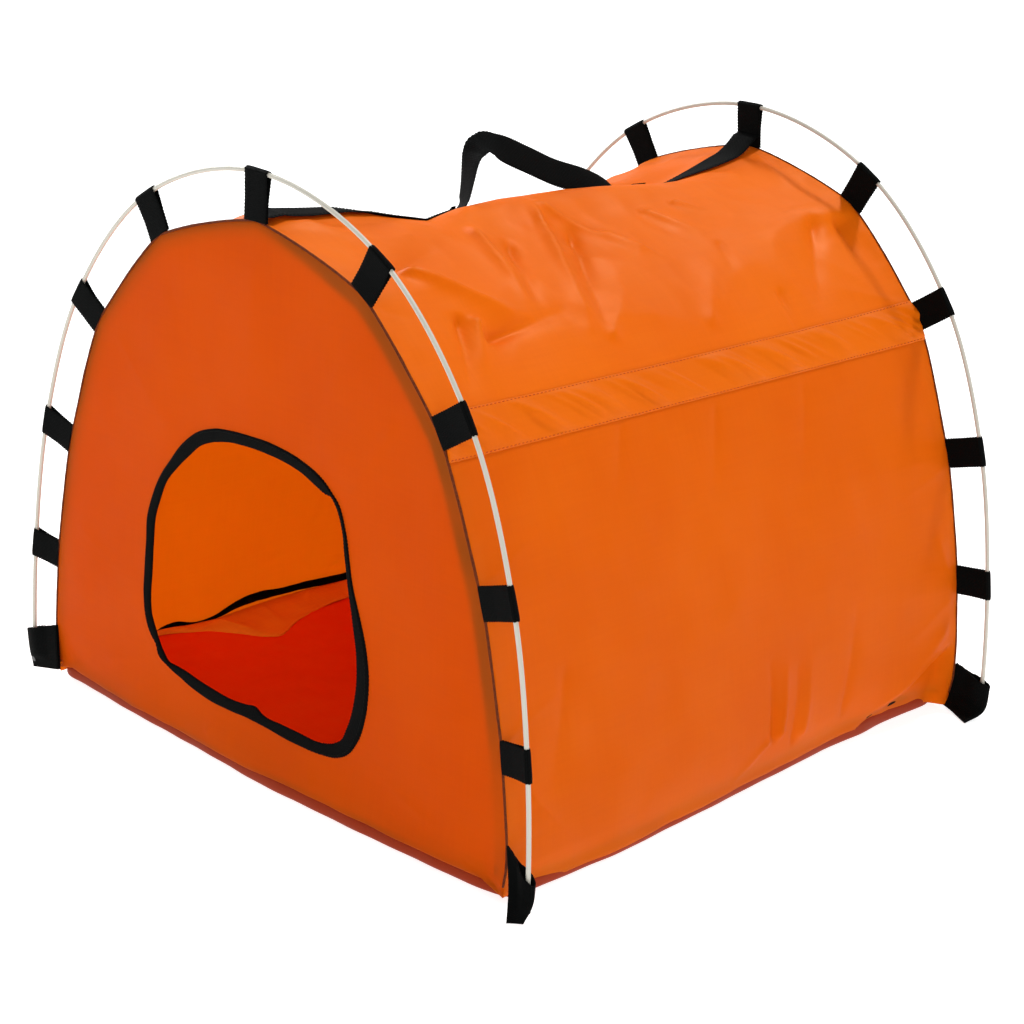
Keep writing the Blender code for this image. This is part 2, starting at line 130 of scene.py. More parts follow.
DOOR_CENTRE = np.array((-0.012, 0.160))

# The handle's centre line (x, y, z) and its twist about that line in degrees, from its front end.
HANDLE = ((-0.007, -0.0800, 0.4230, -20), (-0.005, -0.0745, 0.4300, -34), (0.0, -0.0686, 0.4441, -28),
          (0.0, -0.0663, 0.4543, -20), (0.0, -0.0645, 0.4640, -13), (0.0, -0.0595, 0.4735, 4),
          (0.0, -0.0480, 0.4783, 36), (0.0, -0.0320, 0.4734, 56), (-0.001, 0.0010, 0.4603, 62),
          (-0.003, 0.0350, 0.4465, 60), (-0.004, 0.0760, 0.4345, 52), (-0.005, 0.1060, 0.4260, 30),
          (-0.005, 0.1250, 0.4210, 0), (-0.005, 0.1380, 0.4190, -30))

# Folds of the roof's right half: arc length and y of both ends, height, width, all in millimetres.
ROOF_FOLDS = ((93, -224, 154, -148, 3.4, 9), (172, -189, 161, -99, -3.0, 12),
              (145, -196, 203, -224, -2.8, 10), (151, -183, 186, -201, 2.2, 8),
              (41, -104, 142, -121, 2.4, 8), (64, -80, 140, -112, -2.4, 9), (26, -23, 180, -82, 3.0, 10),
              (60, -6, 172, -62, -2.6, 11), (26, -23, 107, 30, 2.6, 10), (73, 14, 123, 46, 1.6, 8),
              (55, 79, 100, 110, 2.0, 9), (53, 118, 72, 143, 1.6, 7), (180, 141, 222, 136, -1.3, 5),
              (117, 237, 201, 178, -2.6, 15), (126, 256, 171, 250, -2.0, 12),
              (117, 121, 154, 105, -0.9, 6), (2, 182, 30, 226, 1.5, 8), (12, 270, 64, 250, 1.6, 8),
              (8, -262, 60, -200, 1.4, 9), (100, -240, 60, -140, -1.6, 14), (196, -70, 150, -20, 1.4, 12),
              (205, 40, 140, 90, 1.3, 14))
# Folds of the right side, the same way.
SIDE_FOLDS = ((541, 32, 566, -14, 1.6, 4), (548, 33, 480, 31, -2.2, 5), (548, 40, 488, 50, 2.4, 6),
              (560, 60, 490, 66, -1.8, 6), (556, 72, 495, 80, 1.8, 8), (556, 128, 460, 142, -1.8, 9),
              (520, 282, 566, 205, -3.2, 9), (500, 262, 560, 190, 1.8, 10), (262, 15, 330, -10, -1.3, 9),
              (258, -92, 310, -116, -1.0, 8), (418, -197, 500, -222, -1.2, 12),
              (500, -250, 556, -200, 1.2, 9), (264, 120, 340, 96, -1.0, 12), (420, 250, 500, 268, 1.2, 12))


# ---------------------------------------------------------------- curves and surfaces
def smooth_through(points, per_span, closed=False):
    """Points of a smooth curve through the given points, each span a cubic with matched tangents."""
    knots = np.array(points, dtype=float)
    if closed:
        knots = np.vstack([knots[-1], knots, knots[0], knots[1]])
    else:
        knots = np.vstack([2 * knots[0] - knots[1], knots, 2 * knots[-1] - knots[-2]])
    spans = np.diff(knots, axis=0)
    lengths = np.linalg.norm(spans[:, :2], axis=1)[:, None]
    slopes = spans / lengths
    tangents = (slopes[:-1] * lengths[1:] + slopes[1:] * lengths[:-1]) / (lengths[:-1] + lengths[1:])
    curve = []
    for index in range(1, len(knots) - 2):
        for t in np.arange(per_span) / per_span:
            curve.append(knots[index] * (2 * t ** 3 - 3 * t ** 2 + 1)
                         + tangents[index - 1] * lengths[index] * (t ** 3 - 2 * t ** 2 + t)
                         + knots[index + 1] * (3 * t ** 2 - 2 * t ** 3)
                         + tangents[index] * lengths[index] * (t ** 3 - t ** 2))
    if not closed:
        curve.append(knots[-2])
    return np.array(curve)


def travelled_along(path):
    """The length of a path up to each of its points."""
    return np.concatenate([[0.0], np.cumsum(np.linalg.norm(np.diff(path, axis=0), axis=1))])


def even_spacing(path, step):
    """The same path with points an even step apart."""
    travelled = travelled_along(path)
    count = max(2, int(round(travelled[-1] / step)) + 1)
    wanted = np.linspace(0.0, travelled[-1], count)
    return np.column_stack([np.interp(wanted, travelled, path[:, axis]) for axis in range(path.shape[1])])


def unit(vectors):
    return vectors / np.maximum(np.linalg.norm(vectors, axis=-1, keepdims=True), 1e-12)


def ease(x):
    """0 below 0, 1 above 1, smooth between."""
    x = np.clip(x, 0.0, 1.0)
    return x * x * (3 - 2 * x)


class Arch:
    """A half outline and its mirror image as one smooth curve, read by signed arc length from the apex."""

    def __init__(self, half):
        left = [(-x, z) for x, z in reversed(half[1:])]
        self.curve = smooth_through(left + list(half), per_span=40)
        self.arcs = travelled_along(self.curve)
        self.arcs -= self.arcs[-1] / 2
        self.length = self.arcs[-1]
        along = unit(np.gradient(self.curve, self.arcs, axis=0))
        self.normals = np.column_stack([-along[:, 1], along[:, 0]])

    def point(self, arc):
        return np.stack([np.interp(arc, self.arcs, self.curve[:, i]) for i in (0, 1)], axis=-1)

    def normal(self, arc):
        return unit(np.stack([np.interp(arc, self.arcs, self.normals[:, i]) for i in (0, 1)], axis=-1))

    def arc_of(self, point):
        return self.arcs[np.argmin(np.linalg.norm(self.curve - np.array(point), axis=1))]


SEAM = Arch(SEAM_HALF)
HOOP = Arch(HOOP_HALF)
SEWN_HALF = [SEAM.arc_of(place) for place in SEAM_HALF[:-1]]
SEWN_ARCS = np.array(sorted(SEWN_HALF + [-arc for arc in SEWN_HALF[1:]]))
SLACK = 0.55                  # how far the end seams straighten between their loops: 0 round, 1 straight


def seam_flattening(arc):
    """How far the end seam lies inside its smooth arch, because the webbing pulls only at its own places."""
    depth = np.zeros_like(arc)
    for low, high in zip(SEWN_ARCS[:-1], SEWN_ARCS[1:]):
        chord = (SEAM.point(low) + SEAM.point(high)) / 2
        sagitta = np.linalg.norm(SEAM.point((low + high) / 2) - chord)
        share = np.clip((arc - low) / (high - low), 0.0, 1.0)
        between = (arc > low) & (arc < high)
        depth = np.maximum(depth, np.where(between, 4 * share * (1 - share) * sagitta, 0.0))
    return SLACK * depth


def waist_depth(arc, t):
    """How far the shell sags inside the arch, at arc length arc and t from -1, the front, to 1, the back."""
    from_ridge = np.maximum(0.0, 1.0 - np.abs(arc) / RIDGE_ZONE)
    from_foot = np.maximum(0.0, 1.0 - (SEAM.length - np.abs(arc)) / FOOT_ZONE)
    depth = WAIST_SIDE + (WAIST_RIDGE - WAIST_SIDE) * from_ridge ** 2
    depth = depth + (WAIST_FOOT - WAIST_SIDE) * from_foot ** 2
    return depth * (1.0 - t * t) * (1.0 + WAIST_SKEW * t * from_ridge)


RIPPLE_WAVES = 7              # how many waves make up an irregular surface


def ripples(u, v, seed, size):
    """Gentle irregular waves about size across, from -1 to 1."""
    draw = np.random.default_rng(seed)
    total = np.zeros_like(u)
    for _ in range(RIPPLE_WAVES):
        angle, phase, stretch = draw.uniform(0, math.pi), draw.uniform(0, 2 * math.pi), draw.uniform(0.6, 1.7)
        pitch = 2 * math.pi / (size * stretch)
        total += np.sin((u * math.cos(angle) + v * math.sin(angle)) * pitch + phase)
    return total / RIPPLE_WAVES * 1.6


def fold_height(u, v, fold):
    """A fold from (u0, v0) to (u1, v1): sharp at its crest, fading to both sides and its far end."""
    u0, v0, u1, v1, height, width = (value * MM for value in fold)
    length = math.hypot(u1 - u0, v1 - v0)
    share = np.clip(((u - u0) * (u1 - u0) + (v - v0) * (v1 - v0)) / length ** 2, 0.0, 1.0)
    away = np.hypot(u - u0 - share * (u1 - u0), v - v0 - share * (v1 - v0))
    spread = FOLD_WIDTH * width * (0.7 + 0.6 * share)
    crest = np.exp(0.25 - np.sqrt((away / spread) ** 2 + 0.0625))
    return height * crest * ease(share / 0.2 + 0.15) * (1.0 - 0.75 * share)


def loop_folds(seed):
    """Short folds that run from each loop into the shell, at both ends."""
    draw = np.random.default_rng(seed)
    folds = []
    for arc in SEWN_ARCS:
        height = SEAM.point(arc)[1]
        for end in (-1, 1):
            start = end * (SEAM_Y + SEAM_LEAN * height) / MM
            for lean in (-1, 1):
                slant = lean * draw.uniform(10, 34)
                reach = draw.uniform(35, 80)
                rise = draw.choice((-1.0, 1.0)) * draw.uniform(0.25, 0.55)
                folds.append((arc / MM + lean * 9, start, arc / MM + lean * 9 + slant, start - end * reach,
                              rise, draw.uniform(4, 8)))
    return folds


FOLD_SHARE = 3.4              # every fold's height and width as shares of the tables' numbers
FOLD_WIDTH = 0.62
SIDE_FOLD_SHARE = 0.6
LOOP_FOLDS = loop_folds(11)
LEFT_SHIFT = 24.0             # the left half's folds are the right half's, moved back and softened
LEFT_SHARE = 0.8
RIGHT_FOLDS = ROOF_FOLDS + tuple((a, b, c, d, SIDE_FOLD_SHARE * h, w) for a, b, c, d, h, w in SIDE_FOLDS)
LEFT_FOLDS = tuple((-a, b + LEFT_SHIFT, -c, d + LEFT_SHIFT, h * LEFT_SHARE, w)
                   for a, b, c, d, h, w in RIGHT_FOLDS)
ALL_FOLDS = RIGHT_FOLDS + LEFT_FOLDS + tuple(LOOP_FOLDS)


def ridge_lean(arc, t):
    """The slack ridge's lean: a crest on its right and a trough on its left, none at the ends."""
    share = arc / LEAN_WIDTH
    along = 1.0 - ease((np.abs(t - LEAN_CENTRE) - 0.25) / 0.62)
    return LEAN_SLOPE * LEAN_WIDTH * share * np.exp(-share ** 2 / 2) * along


def ridge_rise(arc, y):
    """Ups and downs along the ridge, and a puff just behind the front seam."""
    spots, heights = np.array(RIDGE_RISE).T * MM
    rise = np.interp(y, spots, heights) * np.exp(-(arc / RIDGE_RISE_WIDTH) ** 2)
    high, arc0, arc_spread, y0, y_spread = (value * MM for value in FRONT_PUFF)
    puff = high * np.exp(-((arc - arc0) / arc_spread) ** 2 - ((y - y0) / y_spread) ** 2)
    return rise + puff * ease((y + SEAM_Y) / 0.012)


def roof_sag(arc, t):
    """How far each half of the roof hangs inwards between the ridge and its gathered band."""
    spread = np.exp(-((np.abs(arc) - ROOF_SAG_ARC) / 0.060) ** 2)
    deep = np.where(arc < 0, ROOF_SAG[0] * (1.0 - 0.65 * t), ROOF_SAG[1])
    return deep * spread * (1.0 - t * t) * ease(np.abs(arc) / 0.02)


def corner_tuck(arc, y):
    """How far the shell's lower corners are pulled inwards, below a slanting fold."""
    tuck = np.zeros_like(arc)
    for side, end, arc0, y0, arc1, y1, depth in CORNER_TUCKS:
        run = np.array((arc1 - arc0, y1 - y0)) * MM
        below = ((side * arc - arc0 * MM) * run[1] - (y - y0 * MM) * run[0]) / np.linalg.norm(run) * -end
        below = np.where((side * arc > 0.3) & (end * y > 0), np.maximum(below, 0.0), 0.0)
        tuck = tuck + depth * MM * (1.0 - np.exp(-(below / 0.016) ** 1.15))
    return tuck


def foot_flare(arc, y):
    """How far the lower edges stand out, dying out upwards."""
    low = np.maximum(0.0, 1.0 - np.maximum(SEAM.length - np.abs(arc), 0.0) / FOOT_FLARE) ** 1.6
    return low * np.where(arc > 0, read_line(RIGHT_FOOT, y), read_line(LEFT_FOOT, y))


def read_line(line, along):
    """The value of a smoothed line of (place, value) pairs in millimetres, at places in metres."""
    places, values = np.array(line).T * MM
    return sum(np.interp(along + shift, places, values) for shift in (-0.010, -0.004, 0.004, 0.010)) / 4


def crumple(arc, y):
    """Fine sharp creases all over, strongest on the roof."""
    share = CRUMPLE_SIDE + (1.0 - CRUMPLE_SIDE) * ease((BAND_TOP - np.abs(arc)) / 0.06)
    coarse = np.abs(ripples(arc, y, 6, 0.120)) + 0.45 * np.abs(ripples(arc, 0.8 * y, 7, 0.055))
    return -CRUMPLE * share * coarse


def shell(arc, t, lift=0.0, folded=True):
    """Points of the shell's outer surface at arc length arc and t from -1, the front, to 1, the back."""
    arc, t = np.broadcast_arrays(np.asarray(arc, float), np.asarray(t, float))
    below = np.maximum(np.abs(arc) - SEAM.length, 0.0)
    point, normal = SEAM.point(arc), SEAM.normal(arc)
    half_length = SEAM_Y + SEAM_LEAN * point[..., 1]
    y = t * half_length
    near_end = ease((np.abs(t) - 0.3) / 0.7)
    free = ease((1.0 - np.abs(t)) / 0.07)
    height = lift - waist_depth(arc, t) - seam_flattening(arc) * near_end
    height = height + ridge_lean(arc, t) + ridge_rise(arc, y) - roof_sag(arc, t) - corner_tuck(arc, y) * free
    height = height + foot_flare(arc, y) * free
    if folded:
        inside = ease((1.0 - np.abs(t)) / 0.05)
        wrinkle = np.zeros_like(arc)
        for fold in ALL_FOLDS:
            wrinkle += FOLD_SHARE * fold_height(arc, y, fold)
        wrinkle += 0.5 * MM * ripples(arc, y, 3, 0.09) + 0.22 * MM * ripples(arc, y, 4, 0.035)
        wrinkle += crumple(arc, y)
        to_end = half_length * (1.0 - np.abs(t))
        pucker = 0.45 * MM * np.exp(-to_end / 0.010) * ripples(arc, 0.3 * y, 5, 0.014)
        beside_strap = ease((np.abs(arc + 4 * MM) - 0.013) / 0.015)
        height = height + wrinkle * inside * beside_strap + pucker * ease(to_end / 0.002)
    return np.stack([point[..., 0] + normal[..., 0] * height, y,
                     point[..., 1] + normal[..., 1] * height - below], axis=-1)


def seam_line(side, arcs, inset=0.0):
    """The arched edge of an end wall, inset from the shell's outer surface."""
    return shell(arcs, side, -inset, folded=False)


# ---------------------------------------------------------------- mesh builders
def add_object(name, data):
    """A new object in the scene that shows a mesh, a light or a camera."""
    new = bpy.data.objects.new(name, data)
    bpy.context.scene.collection.objects.link(new)
    return new


def add_piece(name, verts, faces, material, uv=None, hem_and_shade=None):
    """A smooth mesh; the hem-and-shade values say how much each point takes of a darker colour: partly a real
    hem, partly painted shade.
    """
    mesh = bpy.data.meshes.new(name)
    mesh.from_pydata(np.asarray(verts).tolist(), [], [list(map(int, f)) for f in faces])
    mesh.update()
    mesh.shade_smooth()
    if uv is not None:
        layer = mesh.uv_layers.new(name="cloth")
        corners = np.empty(len(mesh.loops), np.int32)
        mesh.loops.foreach_get("vertex_index", corners)
        layer.data.foreach_set("uv", np.asarray(uv)[corners].astype(np.float32).ravel())
    if hem_and_shade is not None:
        values = np.asarray(hem_and_shade, np.float32).ravel()
        mesh.attributes.new("hem_and_shade", "FLOAT", "POINT").data.foreach_set("value", values)
    mesh.materials.append(material)
    return add_object(name, mesh)


def settle(piece, body, slot, *nodes):
    """The piece rides on a body and stands for these nodes; its slot is not used."""
    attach(piece, body)
    if nodes:
        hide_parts(*nodes)


def grid_faces(rows, columns, wrap_rows=False, wrap_columns=False):
    """Quads of a grid of points, rows by columns, optionally closed round its rows or its columns."""
    i, j = np.meshgrid(np.arange(rows - 1 + wrap_rows), np.arange(columns - 1 + wrap_columns), indexing="ij")
    row, next_row, next_column = i * columns, ((i + 1) % rows) * columns, (j + 1) % columns
    corners = [row + j, next_row + j, next_row + next_column, row + next_column]
    return np.stack(corners, axis=-1).reshape(-1, 4)


def ring_faces(rings, sides, closed=False):
    """Quads of a tube, ring by ring."""
    return np.roll(grid_faces(rings, sides, closed, True)[:, ::-1], 1, axis=1)


def rod_faces(rings, sides, first=0):
    """Faces of a tube with closed ends, counted from its first point."""
    start = list(range(first, first + sides))
    end = [point + (rings - 1) * sides for point in start]
    return (ring_faces(rings, sides) + first).tolist() + [start[::-1], end]


def thicken(piece, thickness, offset):
    solidify = piece.modifiers.new("thickness", "SOLIDIFY")
    solidify.thickness = thickness
    solidify.offset = offset


def cloth_sheet(name, points, uv, material, hem_and_shade=None, wrap=False):
    """A sheet of cloth through a grid of points, thickened inwards."""
    rows, columns = points.shape[:2]
    piece = add_piece(name, points.reshape(-1, 3), grid_faces(rows, columns, wrap), material,
                      uv.reshape(-1, 2), None if hem_and_shade is None else hem_and_shade.reshape(-1))
    thicken(piece, CLOTH, -1.0)
    return piece


def strap_mesh(name, path, across, width, material, thickness=WEB_THICKNESS, serrated=True, samples=9):
    """A woven strap along a path: across gives the direction of its width at each point."""
    travelled = travelled_along(path)
    along = unit(np.gradient(path, axis=0))
    across = unit(across - along * np.sum(across * along, axis=1, keepdims=True))
    facing = np.cross(along, across)[:, None]
    half = np.broadcast_to(np.asarray(width, float) / 2, travelled.shape).copy()
    if serrated:
        half += PICK_DEPTH * np.sin(2 * math.pi * travelled / PICK_PITCH)
    shares = np.sin(np.linspace(-1, 1, samples) * math.pi / 2)
    swell = (thickness / 2 * (1.0 - 0.72 * np.abs(shares) ** 8))[:, None]
    flat = path[:, None] + across[:, None] * (half[:, None] * shares)[..., None]
    ring = np.concatenate([flat + facing * swell, (flat - facing * swell)[:, ::-1]], axis=1)
    rings, count = ring.shape[:2]
    side = np.concatenate([shares, shares[::-1]]) * WEB_WIDTH / 2
    uv = np.stack(np.broadcast_arrays(side, travelled[:, None]), axis=-1)
    faces = grid_faces(rings, count, wrap_columns=True)[:, ::-1].tolist()
    base = (rings - 1) * count
    for k in range(samples - 1):
        faces.append([k, k + 1, count - 2 - k, count - 1 - k][::-1])
        faces.append([base + k, base + k + 1, base + count - 2 - k, base + count - 1 - k])
    piece = add_piece(name, ring.reshape(-1, 3), faces, material, uv.reshape(-1, 2))
    fix_facing(piece)
    return piece


def tape_mesh(name, path, across, width, thickness):
    """Thin smooth tape along a path."""
    return strap_mesh(name, path, across, width, TAPE, thickness, serrated=False, samples=5)


def fix_facing(piece):
    """Turns a closed mesh's faces outwards."""
    shape = bmesh.new()
    shape.from_mesh(piece.data)
    bmesh.ops.recalc_face_normals(shape, faces=list(shape.faces))
    shape.to_mesh(piece.data)
    shape.free()


def tube_mesh(name, path, radius, material, sides):
    """A round rod along a path."""
    along = unit(np.gradient(path, axis=0))
    first = unit(np.array((0.0, 1.0, 0.0)) - along * along[:, 1:2])
    second = np.cross(along, first)
    turns = np.linspace(0, 2 * math.pi, sides, endpoint=False)
    radii = np.broadcast_to(np.asarray(radius, float), len(path))
    ring = path[:, None] + radii[:, None, None] * (first[:, None] * np.cos(turns)[:, None]
                                                   + second[:, None] * np.sin(turns)[:, None])
    uv = np.stack(np.broadcast_arrays(turns * 0.002, travelled_along(path)[:, None]), axis=-1)
    piece = add_piece(name, ring.reshape(-1, 3), rod_faces(len(path), sides), material, uv.reshape(-1, 2))
    fix_facing(piece)
    return piece


# One stitch's bead of thread: along its length, its radius and how far it stands out, both in thread radii.
BEAD = ((0.0, 0.35, -0.8), (0.18, 0.9, 0.2), (0.5, 1.0, 0.45), (0.82, 0.9, 0.2), (1.0, 0.35, -0.8))
BEAD_SIDES = 6


def stitch_mesh(name, lines, material, stitch=3.0 * MM, gap=1.1 * MM, thread=0.32 * MM):
    """Sewing thread: one small bead of thread for each stitch, along each line of (points, normals)."""
    verts, faces = [], []
    turns = [2 * math.pi * k / BEAD_SIDES for k in range(BEAD_SIDES)]
    for points, normals in lines:
        travelled = travelled_along(points)
        for start in np.arange(0.5 * gap, travelled[-1] - stitch, stitch + gap):
            spots = np.array([start + share * stitch for share, _, _ in BEAD])
            line = np.column_stack([np.interp(spots, travelled, points[:, axis]) for axis in range(3)])
            up = unit(np.array([np.interp(start, travelled, normals[:, axis]) for axis in range(3)]))
            beside = np.cross(unit(line[-1] - line[0]), up)
            faces += rod_faces(len(BEAD), BEAD_SIDES, len(verts))
            for spot, (_, size, sink) in zip(line, BEAD):
                for turn in turns:
                    rise = up * (sink + size * math.sin(turn))
                    verts.append(spot + thread * (rise + beside * size * math.cos(turn)))
    return add_piece(name, verts, faces, material)


HANDLE_MIDDLE = 0.022         # y half-way between the handle's sewn ends
HANDLE_FREE = 0.086           # how far from there its webbing lies on the ridge strap
PICK_PITCH = 2.6 * MM         # spacing of the webbing's cross threads
PICK_DEPTH = 0.28 * MM        # how far they stand out of its edges
SECTION_STEP = 0.65 * MM      # spacing of a strap's sections, four to a cross thread


# ---------------------------------------------------------------- materials
def set_inputs(node, values):
    """Sets a node's own sockets by name; a colour gets an alpha of 1."""
    for key, value in values.items():
        node.inputs[key].default_value = (*value, 1.0) if isinstance(value, tuple) else value


def principled(name, colour, roughness):
    material = bpy.data.materials.new(name)
    material.use_nodes = True
    shader = material.node_tree.nodes["Principled BSDF"]
    set_inputs(shader, {"Base Color": colour, "Roughness": roughness})
    return material, shader


def add_node(tree, kind, **settings):
    node = tree.nodes.new(kind)
    for key, value in settings.items():
        setattr(node, key, value)
    return node


def cloth_place(tree):
    return add_node(tree, "ShaderNodeUVMap", uv_map="cloth").outputs["UV"]


def body_place(tree):
    return add_node(tree, "ShaderNodeTexCoord").outputs["Object"]


def noise_node(tree, vector, scale, detail):
    node = add_node(tree, "ShaderNodeTexNoise")
    set_inputs(node, {"Scale": scale, "Detail": detail, "Roughness": 0.55})
    tree.links.new(vector, node.inputs["Vector"])
    return node.outputs["Fac"]


def stretched_noise(tree, vector, scales, detail=2.0):
    """Noise drawn out along one direction, as slubs are along a thread."""
    mapping = add_node(tree, "ShaderNodeMapping")
    mapping.inputs["Scale"].default_value = scales
    tree.links.new(vector, mapping.inputs["Vector"])
    return noise_node(tree, mapping.outputs["Vector"], 1.0, detail)


def wave_node(tree, vector, direction, pitch, distortion=0.3):
    """Even threads across one direction of the cloth, pitch apart."""
    node = add_node(tree, "ShaderNodeTexWave", wave_type="BANDS", bands_direction=direction,
                    wave_profile="SIN")
    set_inputs(node, {"Scale": math.pi / 10 / pitch, "Distortion": distortion,
                      "Detail": 1.0, "Detail Scale": 2.0})
    tree.links.new(vector, node.inputs["Vector"])
    return node.outputs["Fac"]


def math_node(tree, operation, first, second):
    node = add_node(tree, "ShaderNodeMath", operation=operation)
    for socket, value in zip(node.inputs, (first, second)):
        if isinstance(value, (int, float)):
            socket.default_value = value
        else:
            tree.links.new(value, socket)
    return node.outputs["Value"]


def ramp_between(tree, factor, low, high, start=0.0, end=1.0):
    node = add_node(tree, "ShaderNodeMapRange")
    set_inputs(node, {"From Min": start, "From Max": end, "To Min": low, "To Max": high})
    tree.links.new(factor, node.inputs["Value"])
    return node.outputs["Result"]


def mix_colours(tree, factor, first, second):
    node = add_node(tree, "ShaderNodeMix", data_type="RGBA")
    for socket, value in ((node.inputs[0], factor), (node.inputs[6], first), (node.inputs[7], second)):
        if isinstance(value, tuple):
            socket.default_value = (*value, 1.0)
        elif isinstance(value, float):
            socket.default_value = value
        else:
            tree.links.new(value, socket)
    return node.outputs[2]


def add_bump(tree, shader, height, distance, strength):
    node = add_node(tree, "ShaderNodeBump")
    set_inputs(node, {"Strength": strength, "Distance": distance})
    tree.links.new(height, node.inputs["Height"])
    tree.links.new(node.outputs["Normal"], shader.inputs["Normal"])


NYLON_PITCH = 0.9 * MM        # the taffeta's visible thread pairs


def nylon(name, colour, deep, glow, translucency, shine, hem_and_shade_colour=None):
    """Coated plain-weave nylon: fine threads, slight unevenness, a soft sheen and some light through it."""
    material, shader = principled(name, colour, 0.48)
    tree = material.node_tree
    cloth, body = cloth_place(tree), body_place(tree)
    warp = wave_node(tree, cloth, "X", NYLON_PITCH, 0.4)
    weft = wave_node(tree, cloth, "Y", NYLON_PITCH, 0.4)
    weave = math_node(tree, "MULTIPLY", warp, weft)
    slub = noise_node(tree, cloth, 900.0, 2.0)
    streaks = math_node(tree, "ADD", stretched_noise(tree, cloth, (420.0, 16.0, 1.0)),
                        stretched_noise(tree, cloth, (16.0, 420.0, 1.0)))
    cloud = math_node(tree, "ADD", noise_node(tree, body, 7.0, 3.0),
                      math_node(tree, "MULTIPLY", streaks, 0.35))
    tint = mix_colours(tree, ramp_between(tree, cloud, 0.0, 1.0, 0.68, 1.02), colour, deep)
    threads = mix_colours(tree, ramp_between(tree, weave, 0.0, 0.16), tint, deep)
    # Mixes in a darker colour: on the end walls, the real hem with painted shade along the seam and the lower
    # edge; on the floor pad, painted shade on its sides and underside.
    if hem_and_shade_colour is not None:
        hem_and_shade = add_node(tree, "ShaderNodeAttribute", attribute_name="hem_and_shade").outputs["Fac"]
        threads = mix_colours(tree, hem_and_shade, threads, hem_and_shade_colour)
    tree.links.new(threads, shader.inputs["Base Color"])
    rough = ramp_between(tree, noise_node(tree, body, 30.0, 3.0), 0.42, 0.56, 0.3, 0.7)
    tree.links.new(rough, shader.inputs["Roughness"])
    set_inputs(shader, {"Sheen Weight": 0.25 * shine, "Sheen Roughness": 0.5, "Sheen Tint": NYLON_SHEEN,
                        "Specular IOR Level": shine, "Specular Tint": NYLON_SHEEN})
    height = math_node(tree, "ADD", math_node(tree, "MULTIPLY", weave, 0.6),
                       math_node(tree, "MULTIPLY", slub, 0.5))
    add_bump(tree, shader, height, 0.12 * MM, 0.6)
    through = add_node(tree, "ShaderNodeBsdfTranslucent")
    set_inputs(through, {"Color": glow})
    both = add_node(tree, "ShaderNodeMixShader")
    set_inputs(both, {"Fac": translucency})
    output = tree.nodes["Material Output"]
    tree.links.new(shader.outputs["BSDF"], both.inputs[1])
    tree.links.new(through.outputs["BSDF"], both.inputs[2])
    tree.links.new(both.outputs["Shader"], output.inputs["Surface"])
    return material


def webbing_material(name, colour, highlight):
    """Flat woven webbing: cross threads, a fine herringbone and dull black yarn."""
    material, shader = principled(name, colour, 0.8)
    tree = material.node_tree
    cloth = cloth_place(tree)
    picks = wave_node(tree, cloth, "Y", PICK_PITCH / 2)
    yarns = wave_node(tree, cloth, "X", 1.3 * MM)
    diagonal = wave_node(tree, cloth, "DIAGONAL", 1.7 * MM)
    fuzz = noise_node(tree, cloth, 1400.0, 3.0)
    weave = math_node(tree, "ADD", math_node(tree, "MULTIPLY", picks, 0.5),
                      math_node(tree, "MULTIPLY", yarns, 0.5))
    weave = math_node(tree, "MULTIPLY", weave, ramp_between(tree, diagonal, 0.7, 1.0))
    # Lighter where the weave's threads stand up and the fuzz is high: painted highlight on the raised
    # threads, with uneven fuzz.
    raised_weave = math_node(tree, "MULTIPLY", weave, fuzz)
    shade = mix_colours(tree, ramp_between(tree, raised_weave, 0.0, 1.0, 0.1, 0.5), colour, highlight)
    tree.links.new(shade, shader.inputs["Base Color"])
    tree.links.new(ramp_between(tree, fuzz, 0.6, 0.8, 0.3, 0.7), shader.inputs["Roughness"])
    set_inputs(shader, {"Specular IOR Level": 0.03})
    height = math_node(tree, "ADD", weave, math_node(tree, "MULTIPLY", fuzz, 0.4))
    add_bump(tree, shader, height, 0.35 * MM, 0.8)
    return material


def rod_material():
    """Pultruded fibreglass: ivory resin with faint streaks along it."""
    material, shader = principled("fibreglass", ROD_COLOUR, 0.38)
    tree = material.node_tree
    cloth = cloth_place(tree)
    streaks = stretched_noise(tree, cloth, (1400.0, 14.0, 1.0), 3.0)
    shade = mix_colours(tree, ramp_between(tree, streaks, 0.0, 1.0, 0.3, 0.7), ROD_COLOUR, ROD_SHADE)
    tree.links.new(shade, shader.inputs["Base Color"])
    tree.links.new(ramp_between(tree, streaks, 0.3, 0.5), shader.inputs["Roughness"])
    add_bump(tree, shader, streaks, 0.05 * MM, 0.4)
    return material


def plain_material(name, colour, shade, roughness):
    """Moulded plastic, thread or paint: a slightly uneven colour and a fine grain."""
    material, shader = principled(name, colour, roughness)
    tree = material.node_tree
    grain = noise_node(tree, body_place(tree), 600.0, 3.0)
    tint = mix_colours(tree, ramp_between(tree, grain, 0.0, 1.0, 0.35, 0.65), colour, shade)
    tree.links.new(tint, shader.inputs["Base Color"])
    set_inputs(shader, {"Specular IOR Level": 0.15})
    add_bump(tree, shader, grain, 0.08 * MM, 0.5)
    return material


# The roof, side and front oranges are lit and shaded copies of one fabric: the roof's is paler as painted
# sheen, the front's is darker as painted shade, and the side's lies between them.
ROOF_ORANGE_PAINTED_SHEEN = (0.87, 0.178, 0.003)
ROOF_DEEP_PAINTED_SHEEN = (0.82, 0.152, 0.002)
SIDE_ORANGE_PAINTED_LIGHT = (0.79, 0.165, 0.004)
SIDE_DEEP_PAINTED_LIGHT = (0.74, 0.140, 0.003)
FRONT_ORANGE_PAINTED_SHADE = (0.72, 0.110, 0.002)
FRONT_DEEP_PAINTED_SHADE = (0.67, 0.094, 0.002)
